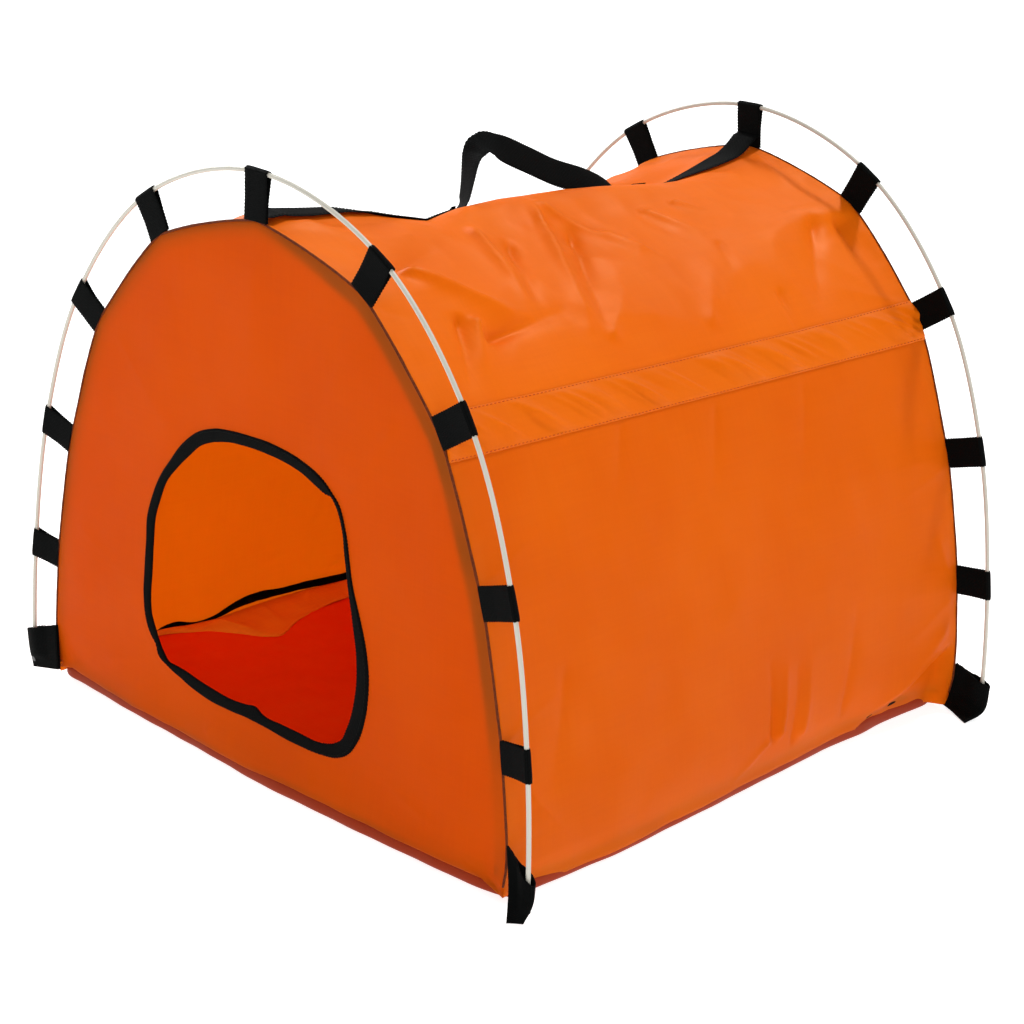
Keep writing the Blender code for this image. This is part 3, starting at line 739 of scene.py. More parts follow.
# The slack's oranges are the side fabric made brighter: painted light on the cloth that lies inside.
SLACK_ORANGE_PAINTED_LIGHT = (1.0, 0.34, 0.02)
SLACK_DEEP_PAINTED_LIGHT = (0.9, 0.27, 0.02)
NYLON_GLOW = (1.0, 0.46, 0.04)
NYLON_SHEEN = (1.0, 0.42, 0.05)
# The end walls' hem colour: the doubled hem, darkened further as painted shade along the arched seam and the
# lower edge.
HEM_AND_SHADE_BROWN = (0.36, 0.085, 0.007)
RED = (1.0, 0.055, 0.002)
RED_DEEP = (0.96, 0.044, 0.002)
# The floor's rim colour: painted shade on the padded floor's rounded sides and underside.
RED_RIM_PAINTED_SHADE = (0.30, 0.030, 0.009)
RED_GLOW = (0.8, 0.03, 0.002)
THREAD = (0.62, 0.075, 0.006)
THREAD_SHADE = (0.45, 0.045, 0.004)
BLACK = (0.0012, 0.0014, 0.0013)
BLACK_LIGHT = (0.0045, 0.005, 0.005)
ROD_COLOUR = (0.56, 0.54, 0.47)
ROD_SHADE = (0.47, 0.45, 0.38)
# The seam lips' dark brown: painted shadow along the seams between the end walls and the shell.
SEAM_SHADOW_BROWN = (0.16, 0.030, 0.004)
SEAM_SHADOW_DEEP = (0.08, 0.014, 0.002)
TIP_GREY = (0.16, 0.16, 0.16)
TIP_SHADE = (0.12, 0.12, 0.12)

ROOF_NYLON = nylon("roof_nylon_painted_sheen", ROOF_ORANGE_PAINTED_SHEEN, ROOF_DEEP_PAINTED_SHEEN, NYLON_GLOW, 0.30, 0.34)
SIDE_NYLON = nylon("side_nylon_painted_light", SIDE_ORANGE_PAINTED_LIGHT, SIDE_DEEP_PAINTED_LIGHT, NYLON_GLOW, 0.42, 0.14)
FRONT_NYLON = nylon("front_nylon_painted_shade", FRONT_ORANGE_PAINTED_SHADE, FRONT_DEEP_PAINTED_SHADE, NYLON_GLOW, 0.42, 0.05, HEM_AND_SHADE_BROWN)
SLACK_NYLON = nylon("slack_nylon_painted_light", SLACK_ORANGE_PAINTED_LIGHT, SLACK_DEEP_PAINTED_LIGHT, NYLON_GLOW, 0.05, 0.10)
FLOOR_NYLON = nylon("floor_nylon", RED, RED_DEEP, RED_GLOW, 0.03, 0.15, RED_RIM_PAINTED_SHADE)
WEBBING = webbing_material("black_webbing", BLACK, BLACK_LIGHT)
TAPE = webbing_material("black_tape", BLACK, BLACK_LIGHT)
FIBREGLASS = rod_material()
SEWING_THREAD = plain_material("orange_thread", THREAD, THREAD_SHADE, 0.7)
TURNED_EDGE_SHADOW = plain_material("turned_edge_painted_shadow", SEAM_SHADOW_BROWN, SEAM_SHADOW_DEEP, 0.8)
BLACK_THREAD = plain_material("black_thread", BLACK_LIGHT, BLACK, 0.7)
TIP_PLASTIC = plain_material("tip_plastic", TIP_GREY, TIP_SHADE, 0.5)


# ---------------------------------------------------------------- walls
BAND_MIDDLE = (BAND_TOP + BAND_BOTTOM) / 2
BAND_MARGIN = 1.2 * MM        # how far a band reaches past its rows of stitches
BAND_LIFT = 1.0 * MM          # how far a band stands out of the shell
STITCH_DIMPLE = 0.35 * MM     # how far a row of stitches pulls it in
SIDES = ((1, "right"), (-1, "left"))
ENDS = ((-1, "front"), (1, "rear"))


def shell_patch(arc, t, lift=0.0):
    """Shell points on a grid of arc lengths and t, with their cloth coordinates."""
    return shell(arc, t, lift), np.stack(np.broadcast_arrays(arc, t * SEAM_Y), axis=-1)


def build_roof():
    arc = np.linspace(-BAND_MIDDLE, BAND_MIDDLE, 168)[:, None]
    roof = cloth_sheet("roof", *shell_patch(arc, np.linspace(-1.0, 1.0, 190)[None, :]), ROOF_NYLON)
    settle(roof, "root", "orange_nylon", "roof_panel")


def hem_drop(t):
    """How far a side wall's lower edge hangs below the shell's foot."""
    y = t * SEAM_Y
    wave = 0.8 * MM * ripples(y, 0 * y, 17, 0.06)
    return SEAM_HALF[-1][1] - read_line(SIDE_HEM, y) - wave * (1.0 - t * t)


def build_sides():
    joint = BAND_MIDDLE + 0.6 * MM
    t = np.linspace(-1.0, 1.0, 230)[None, :]
    share = np.linspace(0.0, 1.0, 140)[:, None]
    for side, label in SIDES:
        points, uv = shell_patch(side * (joint + (SEAM.length + hem_drop(t) - joint) * share), t)
        wall = cloth_sheet(f"{label}_side", points[::side], uv[::side], SIDE_NYLON)
        settle(wall, "root", "orange_nylon", f"{label}_side_panel")


def band_pucker(arc, y, seed):
    """The gathers between the band's two rows of stitches, which run aslant."""
    across = (np.abs(arc) - BAND_TOP) / (BAND_BOTTOM - BAND_TOP)
    swell = np.sin(math.pi * np.clip(across, 0.0, 1.0)) ** 0.8
    slanted = y - 1.3 * np.abs(arc)
    gathers = ripples(slanted, 0.06 * y, seed, 0.034) + 0.45 * ripples(slanted, 0.1 * y, seed + 1, 0.016)
    height = (1.2 + 3.8 * gathers) * MM
    return (height + np.hypot(height, 0.7 * MM)) / 2 * swell


def build_bands():
    t = np.linspace(-1.0, 1.0, 300)[None, :]
    spots = np.linspace(-0.995, 0.995, 400)
    for side, label in SIDES:
        arcs = sorted((side * (BAND_TOP - BAND_MARGIN), side * (BAND_BOTTOM + BAND_MARGIN)))
        arc = np.linspace(arcs[0], arcs[1], 26)[:, None]
        lift = BAND_LIFT + band_pucker(arc + 0 * t, t * SEAM_Y + 0 * arc, 21 if side > 0 else 31)
        at_stitch = np.minimum(np.abs(np.abs(arc) - BAND_TOP), np.abs(np.abs(arc) - BAND_BOTTOM))
        lift = lift - STITCH_DIMPLE * np.exp(-(at_stitch / (1.0 * MM)) ** 2)
        band = cloth_sheet(f"{label}_band", *shell_patch(arc, t, lift), ROOF_NYLON)
        settle(band, "root", "orange_nylon", f"{label}_seam_band")
        lines = []
        for row in (BAND_TOP, BAND_BOTTOM):
            line = shell(side * row, spots, BAND_LIFT - STITCH_DIMPLE)
            lines.append((line, unit(shell(side * row, spots, 3.0 * MM) - line)))
        thread = stitch_mesh(f"{label}_band_stitches", lines, SEWING_THREAD)
        settle(thread, "root", "orange_nylon")


def radius_at(angles, outline):
    """Distance from the doorway's centre to a closed outline, at these angles."""
    arms = outline - DOOR_CENTRE
    turn = np.arctan2(arms[:, 1], arms[:, 0])
    order = np.argsort(turn)
    return np.interp(angles, turn[order], np.linalg.norm(arms, axis=1)[order], period=2 * math.pi)


def door_outlines(per_span):
    """The doorway binding's outer and inner outlines."""
    curve = smooth_through(DOOR, closed=True, per_span=per_span)
    centre = curve[:, :2]
    along = unit(np.roll(centre, -1, axis=0) - np.roll(centre, 1, axis=0))
    outwards = np.column_stack([along[:, 1], -along[:, 0]])
    half = curve[:, 2:3] * MM / 2
    return centre + outwards * half, centre - outwards * half


def end_wall_outline(side):
    """An end wall's outline: the arched seam down to its corners, then the lower hemmed edge."""
    foot = SEAM.length + SEAM_HALF[-1][1]
    arch = seam_line(side, np.linspace(-foot + 9 * MM, foot - 5 * MM, 270))[:, [0, 2]]
    x = np.linspace(arch[-1, 0], arch[0, 0], 90)[1:-1]
    foot = np.column_stack([x, read_line(END_HEM, x) + 0.5 * MM * ripples(x, 0 * x, 18, 0.03)])
    return np.vstack([arch, foot]), arch


def distance_to(line, x, z):
    """Distance of each point to an open line of many short pieces."""
    nearest = np.full(x.shape, np.inf)
    for start, end in zip(line[:-1], line[1:]):
        run = end - start
        share = np.clip(((x - start[0]) * run[0] + (z - start[1]) * run[1]) / (run @ run), 0.0, 1.0)
        nearest = np.minimum(nearest, np.hypot(x - start[0] - share * run[0], z - start[1] - share * run[1]))
    return nearest


# Folds of the end walls: x and z of both ends, height, width, all in millimetres.
WALL_FOLDS = ((-180, 330, -110, 262, 0.9, 9), (150, 330, 104, 262, 0.9, 9),
              (-240, 150, -160, 120, 0.8, 10), (238, 130, 130, 108, 0.8, 10), (-200, 40, -130, 62, 0.9, 8),
              (200, 36, 120, 62, 0.9, 8), (0, 430, -12, 300, 0.6, 12), (-60, 20, -40, 44, 0.7, 8),
              (70, 20, 60, 44, 0.7, 8), (100, 395, 60, 300, -0.6, 10), (-110, 392, -70, 300, -0.6, 10))


WALL_GAP = 0.4 * MM           # how far the end walls stand off the seam's plane
WALL_TURNS = 480
WALL_RINGS = 64
PIN_HOLE = 4.0 * MM           # radius of the hole that close_hole fills
FRONT_SEED = 41
REAR_SEED = 51


def wall_bulge(x, z, from_rim, seed):
    """How far an end wall stands outwards of its seam's plane."""
    soft = ease(from_rim / 0.05)
    bulge = 2.5 * MM * soft * ease((0.30 - z) / 0.30)
    bulge = bulge + 0.9 * MM * ripples(x, z, seed, 0.16) * soft
    bulge = bulge + 0.25 * MM * ripples(x, z, seed + 1, 0.05) * soft
    for fold in WALL_FOLDS:
        bulge = bulge + fold_height(x, z, fold) * soft
    low = ease((0.060 - z) / 0.050)
    flare = (read_line(END_EDGE, x) + 2.8 * MM) * low - 1.5 * MM * ease((0.014 - z) / 0.008)
    return bulge + flare * ease(from_rim / 0.022)


def end_hem_and_shade(x, z, from_rim):
    """How much each point of an end wall takes the darker hem colour, partly the doubled hem and partly
    painted shade: along the arched seam, wider on the right, and the lower edge.
    """
    width = 9.0 * MM + 8.0 * MM * ease(x / 0.10)
    arched = ease((width - from_rim) / (8.0 * MM)) * ease((z - 0.06) / 0.12)
    low = ease(1.0 - (z - read_line(END_HEM, x)) / (7.0 * MM))
    arched = (0.80 + 0.20 * ripples(x, z, 63, 0.05)) * arched
    return arched + (0.45 + 0.35 * ripples(x, 0 * x, 64, 0.15)) * low


def end_wall(name, side, inner, seed):
    """An end wall from an inner outline, or its middle, to the arched seam and the lower edge."""
    outline, arch = end_wall_outline(side)
    angles = np.linspace(-math.pi, math.pi, WALL_TURNS, endpoint=False)
    for foot in (arch[-1], arch[0]):
        angle = math.atan2(*(foot - DOOR_CENTRE)[::-1])
        angles[np.argmin(np.abs(angles - angle))] = angle
    outer_reach = radius_at(angles, outline)
    inner_reach = radius_at(angles, inner) if inner is not None else np.full_like(angles, PIN_HOLE)
    reach = inner_reach[:, None] + (outer_reach - inner_reach)[:, None] * np.linspace(0.0, 1.0, WALL_RINGS)
    x = DOOR_CENTRE[0] + reach * np.cos(angles)[:, None]
    z = DOOR_CENTRE[1] + reach * np.sin(angles)[:, None]
    from_rim = distance_to(arch, x, z)
    y = side * (SEAM_Y + SEAM_LEAN * z + WALL_GAP + wall_bulge(x, z, from_rim, seed))
    points, uv, hem_and_shade = np.stack([x, y, z], axis=-1), np.stack([x, z], axis=-1), end_hem_and_shade(x, z, from_rim)
    if side > 0:
        points, uv, hem_and_shade = points[::-1], uv[::-1], hem_and_shade[::-1]
    wall = cloth_sheet(name, points[:, ::-1], uv[:, ::-1], FRONT_NYLON, hem_and_shade[:, ::-1], wrap=True)
    if inner is None:
        close_hole(wall)
    return wall


def close_hole(piece):
    """Fills the small hole in the middle of a ring-shaped mesh."""
    shape = bmesh.new()
    shape.from_mesh(piece.data)
    rim = [edge for edge in shape.edges if edge.is_boundary and
           math.hypot(edge.verts[0].co.x - DOOR_CENTRE[0], edge.verts[0].co.z - DOOR_CENTRE[1]) < 0.01]
    bmesh.ops.holes_fill(shape, edges=rim, sides=0)
    shape.to_mesh(piece.data)
    shape.free()


def build_end_walls():
    outline, arch = end_wall_outline(-1)
    outer, inner = door_outlines(10)
    middle = (outer + inner) / 2
    front = end_wall("front_wall", -1, middle, FRONT_SEED)
    settle(front, "root", "orange_nylon", "front_panel")
    rear = end_wall("rear_wall", 1, None, REAR_SEED)
    settle(rear, "root", "orange_nylon", "rear_panel")


def build_seam_lips():
    """The turned edges where roof, sides and end walls are sewn together, dark brown as a painted shadow line
    along the seams.
    """
    arcs = np.linspace(-SEAM.length, SEAM.length, 700)
    wobble = 0.25 * MM * ripples(arcs, 0 * arcs, 61, 0.05)
    radius = 0.95 * MM + 0.12 * MM * ripples(arcs, 0 * arcs, 62, 0.012)
    for side, label in ENDS:
        path = seam_line(side, arcs, 0.1 * MM)
        path[:, 1] += side * (0.3 * MM + wobble)
        lip = tube_mesh(f"{label}_seam_lip", path, radius, TURNED_EDGE_SHADOW, sides=8)
        settle(lip, "root", "orange_nylon")


def build_seam_bindings():
    """The tape on the end seams' allowances, inside the shell."""
    arcs = np.linspace(-SEAM.length + 0.004, SEAM.length - 0.004, 500)
    normal = SEAM.normal(arcs)
    across = np.column_stack([normal[:, 0], 0 * arcs, normal[:, 1]])
    for side, label in ENDS:
        path = seam_line(side, arcs, 7.0 * MM)
        path[:, 1] -= side * 1.6 * MM
        tape = tape_mesh(f"{label}_inner_tape", path, across, 10.0 * MM, 0.5 * MM)
        settle(tape, "root", "black_tape", f"{label}_seam_binding")


def build_door_binding():
    """Tape folded over the doorway's edge: a flattened ring, narrow and wide by turns."""
    outer, inner = door_outlines(16)
    travelled = travelled_along(outer)
    wobble = 0.25 * MM * ripples(travelled, 0 * travelled, 71, 0.03)[:, None]
    middle = (outer + inner) / 2
    direction = unit(outer - inner)
    teeth = 0.30 * MM * np.sin(2 * math.pi * travelled / (2.9 * MM)) * ease((outer[:, 0] - 0.03) / 0.05)
    half = (np.linalg.norm(outer - inner, axis=1) / 2)[:, None] + wobble + teeth[:, None]
    turns = np.linspace(0, 2 * math.pi, 24, endpoint=False)
    wide = np.sign(np.cos(turns)) * np.abs(np.cos(turns)) ** 0.6
    thick = np.sign(np.sin(turns)) * np.abs(np.sin(turns)) ** 0.8
    bulge = wall_bulge(middle[:, 0], middle[:, 1], np.full(len(middle), 1.0), FRONT_SEED)
    centre_y = -(SEAM_Y + SEAM_LEAN * middle[:, 1] + WALL_GAP) - bulge
    x = middle[:, :1] + direction[:, :1] * half * wide
    z = middle[:, 1:] + direction[:, 1:] * half * wide
    y = centre_y[:, None] - 1.5 * MM * thick * (1.0 + 0.25 * wide) + CLOTH / 2
    points = np.stack([x, y, z], axis=-1)
    uv = np.stack(np.broadcast_arrays(wide * 6 * MM, travelled[:, None]), axis=-1)
    ring = add_piece("doorway_tape", points.reshape(-1, 3), ring_faces(*points.shape[:2], closed=True), TAPE,
                     uv.reshape(-1, 2))
    fix_facing(ring)
    settle(ring, "root", "black_tape", "door_binding")
    stitched = middle + direction * half * 0.62
    line = np.column_stack([stitched[:, 0], centre_y - 1.35 * MM, stitched[:, 1]])
    line = np.vstack([line, line[:1]])
    normals = np.tile((0.0, -1.0, 0.0), (len(line), 1))
    thread = stitch_mesh("doorway_stitches", [(line, normals)], BLACK_THREAD, 2.4 * MM, 1.0 * MM, 0.2 * MM)
    settle(thread, "root", "black_tape")


# ---------------------------------------------------------------- floor
FLOOR_INSET = 1.0 * MM        # how far its long sides lie inside the walls
FLOOR_PAST = 2.2 * MM         # how far its ends stand out past the end walls' edges
FLOOR_HALF = 0.27             # half its width and its length, for shrinking it by a few millimetres
SMOOTHING = np.hanning(11) / np.hanning(11).sum()


def floor_outline(count):
    """The padded floor's outermost edge: long sides just inside the walls, ends slightly bulging."""
    t = np.linspace(-1.0, 1.0, count)
    long_sides = []
    for side, way in ((1, 1), (-1, -1)):
        edge = shell(np.full(count, side * SEAM.length), np.clip(t, -0.93, 0.93), folded=False)[::way, :2]
        edge[:, 0] -= side * FLOOR_INSET
        edge[:, 1] = t[::way] * SEAM_Y
        long_sides.append(edge)
    right, left = long_sides
    ends = []
    for end, start, stop in ((-1, left[-1, 0], right[0, 0]), (1, right[-1, 0], left[0, 0])):
        x = np.linspace(start, stop, count)[1:-1]
        ends.append(np.column_stack([x, end * (SEAM_Y + read_line(END_EDGE, x) + FLOOR_PAST)]))
    for edge in long_sides:
        edge[:, 1] *= np.interp(np.abs(edge[:, 1]), (0.20, 0.272), (1.0, 0.978))
    rim = np.vstack([right, ends[1], left, ends[0]])
    padded_rim = np.vstack([rim[-5:], rim, rim[:5]])
    return np.column_stack([np.convolve(padded_rim[:, axis], SMOOTHING, mode="valid") for axis in (0, 1)])


FLOOR_LIFT = 0.4 * MM         # the padded floor's underside above the ground
FLOOR_ROUND = (2.6 * MM, 5.0 * MM)  # how far its edge curves in towards the ground, and towards the top
FLOOR_WIDEST = 4.6 * MM       # the height at which it stands out most


def build_floor():
    """A thin padded mat: one closed body with a rounded edge, slightly uneven on top."""
    rim = floor_outline(150)
    travelled = travelled_along(rim)
    rim = rim * (1.0 + 0.5 * MM * ripples(travelled, 0 * travelled, 81, 0.03)[:, None] / FLOOR_HALF)
    top, low = MAT_TOP + 1.0 * MM, FLOOR_LIFT

    def level(outline, height):
        return np.column_stack([outline, np.broadcast_to(height, len(rim))])

    # The rounded sides and the underside take the rim colour fully, and the upper curve takes a little of it:
    # painted shade.
    rings, painted_side_shade = [], []
    for turn in np.linspace(-math.pi / 2, math.pi / 2, 17):
        shrink = 1.0 - FLOOR_ROUND[int(turn > 0)] * (1.0 - math.cos(turn)) / FLOOR_HALF
        reach = (top - FLOOR_WIDEST) if turn > 0 else (FLOOR_WIDEST - low)
        rings.append(level(rim * shrink, FLOOR_WIDEST + math.sin(turn) * reach))
        painted_side_shade.append(1.0 if turn < 1.1 else 0.3)
    inner_top = []
    for share in np.linspace(0.97, 0.02, 46):
        flat = rim * (1.0 - FLOOR_ROUND[1] / FLOOR_HALF) * share
        soft = ease((1 - share) / 0.1)
        crown = top + 1.2 * MM * (1 - share) + 1.1 * MM * ripples(flat[:, 0], flat[:, 1], 82, 0.12) * soft
        inner_top.append(level(flat, crown + 0.5 * MM * ripples(flat[:, 0], flat[:, 1], 83, 0.04) * soft))
    inner_low = [level(rings[0][:, :2] * share, low) for share in np.linspace(0.02, 0.97, 8)]
    stack = np.stack(inner_low + rings + inner_top, axis=1)
    rows, columns = stack.shape[:2]
    lowest = [row * columns for row in range(rows)]
    highest = [point + columns - 1 for point in lowest]
    faces = grid_faces(rows, columns, True).tolist() + [lowest, highest[::-1]]
    hem_and_shade = np.tile([1.0] * len(inner_low) + painted_side_shade + [0.0] * len(inner_top), (rows, 1))
    pad = add_piece("floor_pad", stack.reshape(-1, 3), faces, FLOOR_NYLON, stack[..., :2].reshape(-1, 2), hem_and_shade)
    fix_facing(pad)
    settle(pad, "root", "red_nylon", "floor_lower_cover", "floor_foam", "floor_upper_cover")


# The left wall's slack that lies on the floor: its width along y, and its creases, all in millimetres.
SLACK_WIDTH = ((-230, 3), (-172, 4), (-156, 9), (-126, 24), (-109, 50), (-97, 74), (-80, 68), (-57, 56),
               (-20, 46), (18, 38), (60, 30), (120, 16), (200, 6), (240, 3))
SLACK_CREASES = ((-120, 6, -97, 70, 3.5, 8), (-60, 4, -75, 60, 2.5, 9), (0, 4, -30, 44, 2.5, 8),
                 (45, 4, 20, 36, 2.0, 8))


def build_wall_slack():
    """Slack cloth at the left wall's foot, lying on the floor inside."""
    y, share = np.meshgrid(np.linspace(-0.225, 0.235, 230), np.linspace(0.0, 1.0, 40), indexing="ij")
    width = read_line(SLACK_WIDTH, y) + 1.5 * MM * ripples(y, 0 * y, 96, 0.05)
    inwards = width * share
    start = shell(np.full(y.shape, -SEAM.length), y / SEAM_Y, folded=False)[..., 0] + 2.5 * MM
    crease = sum(fold_height(y, inwards, fold) for fold in SLACK_CREASES)
    soft = np.sin(math.pi * share) ** 0.7
    height = MAT_TOP + 1.8 * MM + (crease + 1.0 * MM * ripples(y, inwards, 97, 0.04) + 2.2 * MM) * soft
    height = height - 1.2 * MM * (1.0 - share) ** 6 - 0.8 * MM * share ** 8
    points = np.stack([start + inwards, y, height], axis=-1)
    # Its nylon is a brighter copy of the side walls' fabric: painted light.
    slack = cloth_sheet("left_wall_slack", points, np.stack([inwards, y], axis=-1), SLACK_NYLON)
    settle(slack, "root", "orange_nylon")


# The side walls' tape: its height and its width along y, in millimetres.
TAPE_HEIGHT = ((-260, 14), (-190, 11), (-170, 11), (-155, 19.5), (-140, 14), (-122, 13), (-107, 14.5),
               (-78, 20.5), (-48, 21), (-32, 19), (1, 18.5), (49, 15.5), (110, 18), (180, 15), (260, 16))
TAPE_WIDTH = ((-260, 6), (-180, 5), (-170, 4), (-155, 6.5), (-140, 2.5), (-120, 1.8), (-105, 3),
              (-78, 5.5), (-48, 6.5), (-30, 4.5), (0, 5), (30, 6), (50, 7), (150, 6), (260, 6))
TAPE_SWELL = 1.3              # the left tape's width as a share of the table's
TAPE_MIDDLE = (15.5 * MM, 7.5 * MM)  # a side tape's height and width where it is even
TAPE_THICKNESS = 0.9 * MM


def build_floor_tapes():
    """Binding tape on the seams between the walls and the floor, inside; the left one is uneven in height and
    width.
    """
    t = np.linspace(-0.97, 0.97, 400)
    y = t * SEAM_Y
    for side, label in SIDES:
        uneven = 1.0 if side < 0 else 0.4
        height = TAPE_MIDDLE[0] + uneven * (read_line(TAPE_HEIGHT, y) - TAPE_MIDDLE[0])
        path = shell(side * (SEAM.length - (height - SEAM_HALF[-1][1])), t, -2.6 * MM, folded=False)
        width = TAPE_MIDDLE[1] + uneven * (TAPE_SWELL * read_line(TAPE_WIDTH, y) - TAPE_MIDDLE[1])
        width = width + 0.5 * MM * ripples(y, 0 * t, 92, 0.02)
        across = np.tile((0.15 * side, 0.0, 1.0), (len(t), 1))
        tape = tape_mesh(f"{label}_wall_tape", path, across, width, TAPE_THICKNESS)
        settle(tape, "root", "black_tape", f"{label}_floor_tape")
    low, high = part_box("rear_floor_tape")
    x = np.linspace(low.x, high.x, 260)
    across = np.tile((0.0, 0.0, 1.0), (len(x), 1))
    for (side, label), deeper in zip(ENDS, (0.0, 2.0 * MM)):
        height = (low.z + high.z) / 2 - deeper + 0.8 * MM * ripples(x, 0 * x, 93, 0.1)
        path = np.column_stack([x, np.full(len(x), side * (SEAM_Y - 3.2 * MM)), height])
        width = 9.0 * MM + 2 * deeper + 1.2 * MM * ripples(x, 0 * x, 94, 0.07)
        tape = tape_mesh(f"{label}_wall_tape", path, across, width, TAPE_THICKNESS)
        settle(tape, "root", "black_tape", f"{label}_floor_tape")


# ---------------------------------------------------------------- webbing
def build_ridge_strap():
    """Webbing along the ridge, its ends rising to the apex loops."""
    t = np.linspace(-0.998, 0.998, 900)
    arc = read_line(STRAP_SHIFT, t * SEAM_Y)
    left, centre, right = (shell(arc + aside, t, 1.1 * MM, folded=False) for aside in (-6 * MM, 0.0, 6 * MM))
    climb = np.where(centre[:, 1] > 0, 9.0, 3.0) * MM
    centre[:, 2] += climb * np.clip(1.0 - (SEAM_Y - np.abs(centre[:, 1])) / 0.026, 0.0, 1.0) ** 2
    centre[:, 2] += 0.4 * MM * ripples(centre[:, 1], 0 * t, 101, 0.08)
    both = even_spacing(np.column_stack([centre, right - left]), SECTION_STEP)
    path, across = both[:, :3], both[:, 3:]
    strap = strap_mesh("ridge_webbing", path, across, WEB_WIDTH, WEBBING)
    settle(strap, "root", "black_webbing", "ridge_strap")
    across = unit(across)
    up = unit(np.cross(across, unit(np.gradient(path, axis=0))))
    lines = [((path + across * aside + up * 0.62 * MM)[6:-40], up[6:-40]) for aside in (-9.5 * MM, 9.5 * MM)]
    thread = stitch_mesh("ridge_stitches", lines, BLACK_THREAD, 2.6 * MM, 1.0 * MM, 0.25 * MM)
    settle(thread, "root", "black_webbing")


def build_handle():
    """The carry handle: one strap whose sewn ends lie on the ridge and whose middle stands above it."""
    curve = even_spacing(smooth_through(HANDLE, per_span=40) * (1.0, 1.0, 1.0, MM), SECTION_STEP)
    path, twist = curve[:, :3].copy(), np.radians(curve[:, 3] / MM)
    t = path[:, 1] / (SEAM_Y + SEAM_LEAN * path[:, 2])
    ridge = shell(path[:, 0], t, 2.9 * MM, folded=False)[:, 2]
    resting = ease((np.abs(path[:, 1] - HANDLE_MIDDLE) - HANDLE_FREE) / 0.014)
    path[:, 2] = np.maximum(path[:, 2], ridge) * (1 - resting) + ridge * resting
    along = unit(np.gradient(path, axis=0))
    level = np.tile((1.0, 0.0, 0.0), (len(path), 1))
    beside = np.cross(along, level)
    across = level * np.cos(twist)[:, None] + beside * np.sin(twist)[:, None]
    lying = shell(path[:, 0] + 6 * MM, t, folded=False) - shell(path[:, 0] - 6 * MM, t, folded=False)
    across = unit(across * (1 - resting)[:, None] + unit(lying) * resting[:, None])
    handle = strap_mesh("handle", path, across, WEB_WIDTH, WEBBING, samples=11)
    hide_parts("handle_front_end", "carry_handle", "handle_rear_end")
    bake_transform(handle)


def loop_places():
    """Each loop's place on the half outlines, its side and its name."""
    yield 0, 1, "apex"
    for hand, label in SIDES:
        for index in range(1, LOOPS_PER_SIDE + 1):
            yield index, hand, f"{label}_{index}"


def sleeve_path(reach, root, radius):
    """A strap's centre line from its sewn end, round a rod at the origin and back: (outwards, sideways)."""
    turn = np.linspace(math.radians(115), math.radians(-115), 15)
    arc = np.column_stack([radius * np.cos(turn), radius * np.sin(turn)])
    way_out = np.array([(-reach, root), (-reach * 0.55, root * 1.15)])
    return np.vstack([way_out, arc, way_out[::-1] * (1, -1)])


def build_loops(side, label):
    """Nine webbing loops that tie an end seam to its hoop."""
    draw = np.random.default_rng(200 + side)
    for index, hand, place in loop_places():
        arc = hand * SEAM.arc_of(SEAM_HALF[index])
        rod_arc = hand * HOOP.arc_of(HOOP_HALF[index])
        seam = shell(np.array([arc]), float(side), 0.0, folded=False)[0]
        seam[1] += side * 0.4 * MM
        rod_point = HOOP.point(np.array([rod_arc]))[0]
        rod = np.array((rod_point[0], side * HOOP_Y, rod_point[1]))
        step = HOOP.point(np.array([rod_arc + 0.002]))[0] - HOOP.point(np.array([rod_arc - 0.002]))[0]
        along = unit(np.array((step[0], 0.0, step[1])))
        outwards = rod - seam
        outwards = outwards - along * (outwards @ along)
        reach = np.linalg.norm(outwards) + 0.8 * MM
        outwards = unit(outwards)
        sideways = np.cross(along, outwards)
        local = sleeve_path(reach, 0.75 * MM, ROD_RADIUS + WEB_THICKNESS / 2 + 0.1 * MM)
        local = even_spacing(local, SECTION_STEP)
        bow = 0.6 * MM * draw.uniform(-1, 1) * np.sin(math.pi * np.clip(-local[:, 0] / reach, 0, 1))
        path = rod + outwards * local[:, :1] + sideways * (local[:, 1] + bow)[:, None]
        root_share = np.clip(-local[:, 0] / reach, 0, 1)[:, None]
        path = path + along * root_share * draw.uniform(-1.2, 1.2) * MM
        skew = math.radians(draw.uniform(-2.5, 2.5))
        across = np.tile(along * math.cos(skew) + outwards * math.sin(skew), (len(path), 1))
        loop = strap_mesh(f"{label}_{place}_loop", path, across, WEB_WIDTH, WEBBING)
        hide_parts(f"{label}_loop_{place}")
        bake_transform(loop)


# Corner pockets: the sewn edge and the folded edge, each from bottom to top, as (x, y, z) in millimetres;
# x is the distance from the middle and y is measured outwards from the hoop's plane.
POCKETS = {
    "front_right": (((292.5, 14.5, 1.8), (285, 5.5, 21), (272.5, -4.4, 48)),
                    ((301, 6.5, 2.2), (304, 1.5, 15), (303.8, 0.2, 30.5))),
    "front_left": (((264, -1.0, 9), (266.5, -2.0, 28), (269.5, -3.5, 47.5)),
                   ((299.5, 0.5, 1.2), (304.5, 0.4, 18), (307, 0.2, 34.5))),
    "rear_right": (((258, -2.0, 1.2), (265, -2.0, 20), (272.2, -3.0, 41)),
                   ((300.5, -25.0, 1.4), (305.0, -4.5, 8.0), (305.5, 0.0, 29.5))),
    "rear_left": (((262, -3.0, 2), (266, -2.5, 24), (269.5, -3.5, 44)),
                  ((300, 6.0, 1.3), (305.0, 1.5, 12), (305.5, 0.2, 32))),
}
POUCH = 2.9 * MM              # half the space that a pocket leaves for the rod's end
POCKET_FLARE = 1.7 * MM       # how much wider that space is at the pocket's mouth, where the hoop sways
FLAT_GAP = 0.75 * MM          # the same where its layers lie flat
POCKET_ROWS = 64


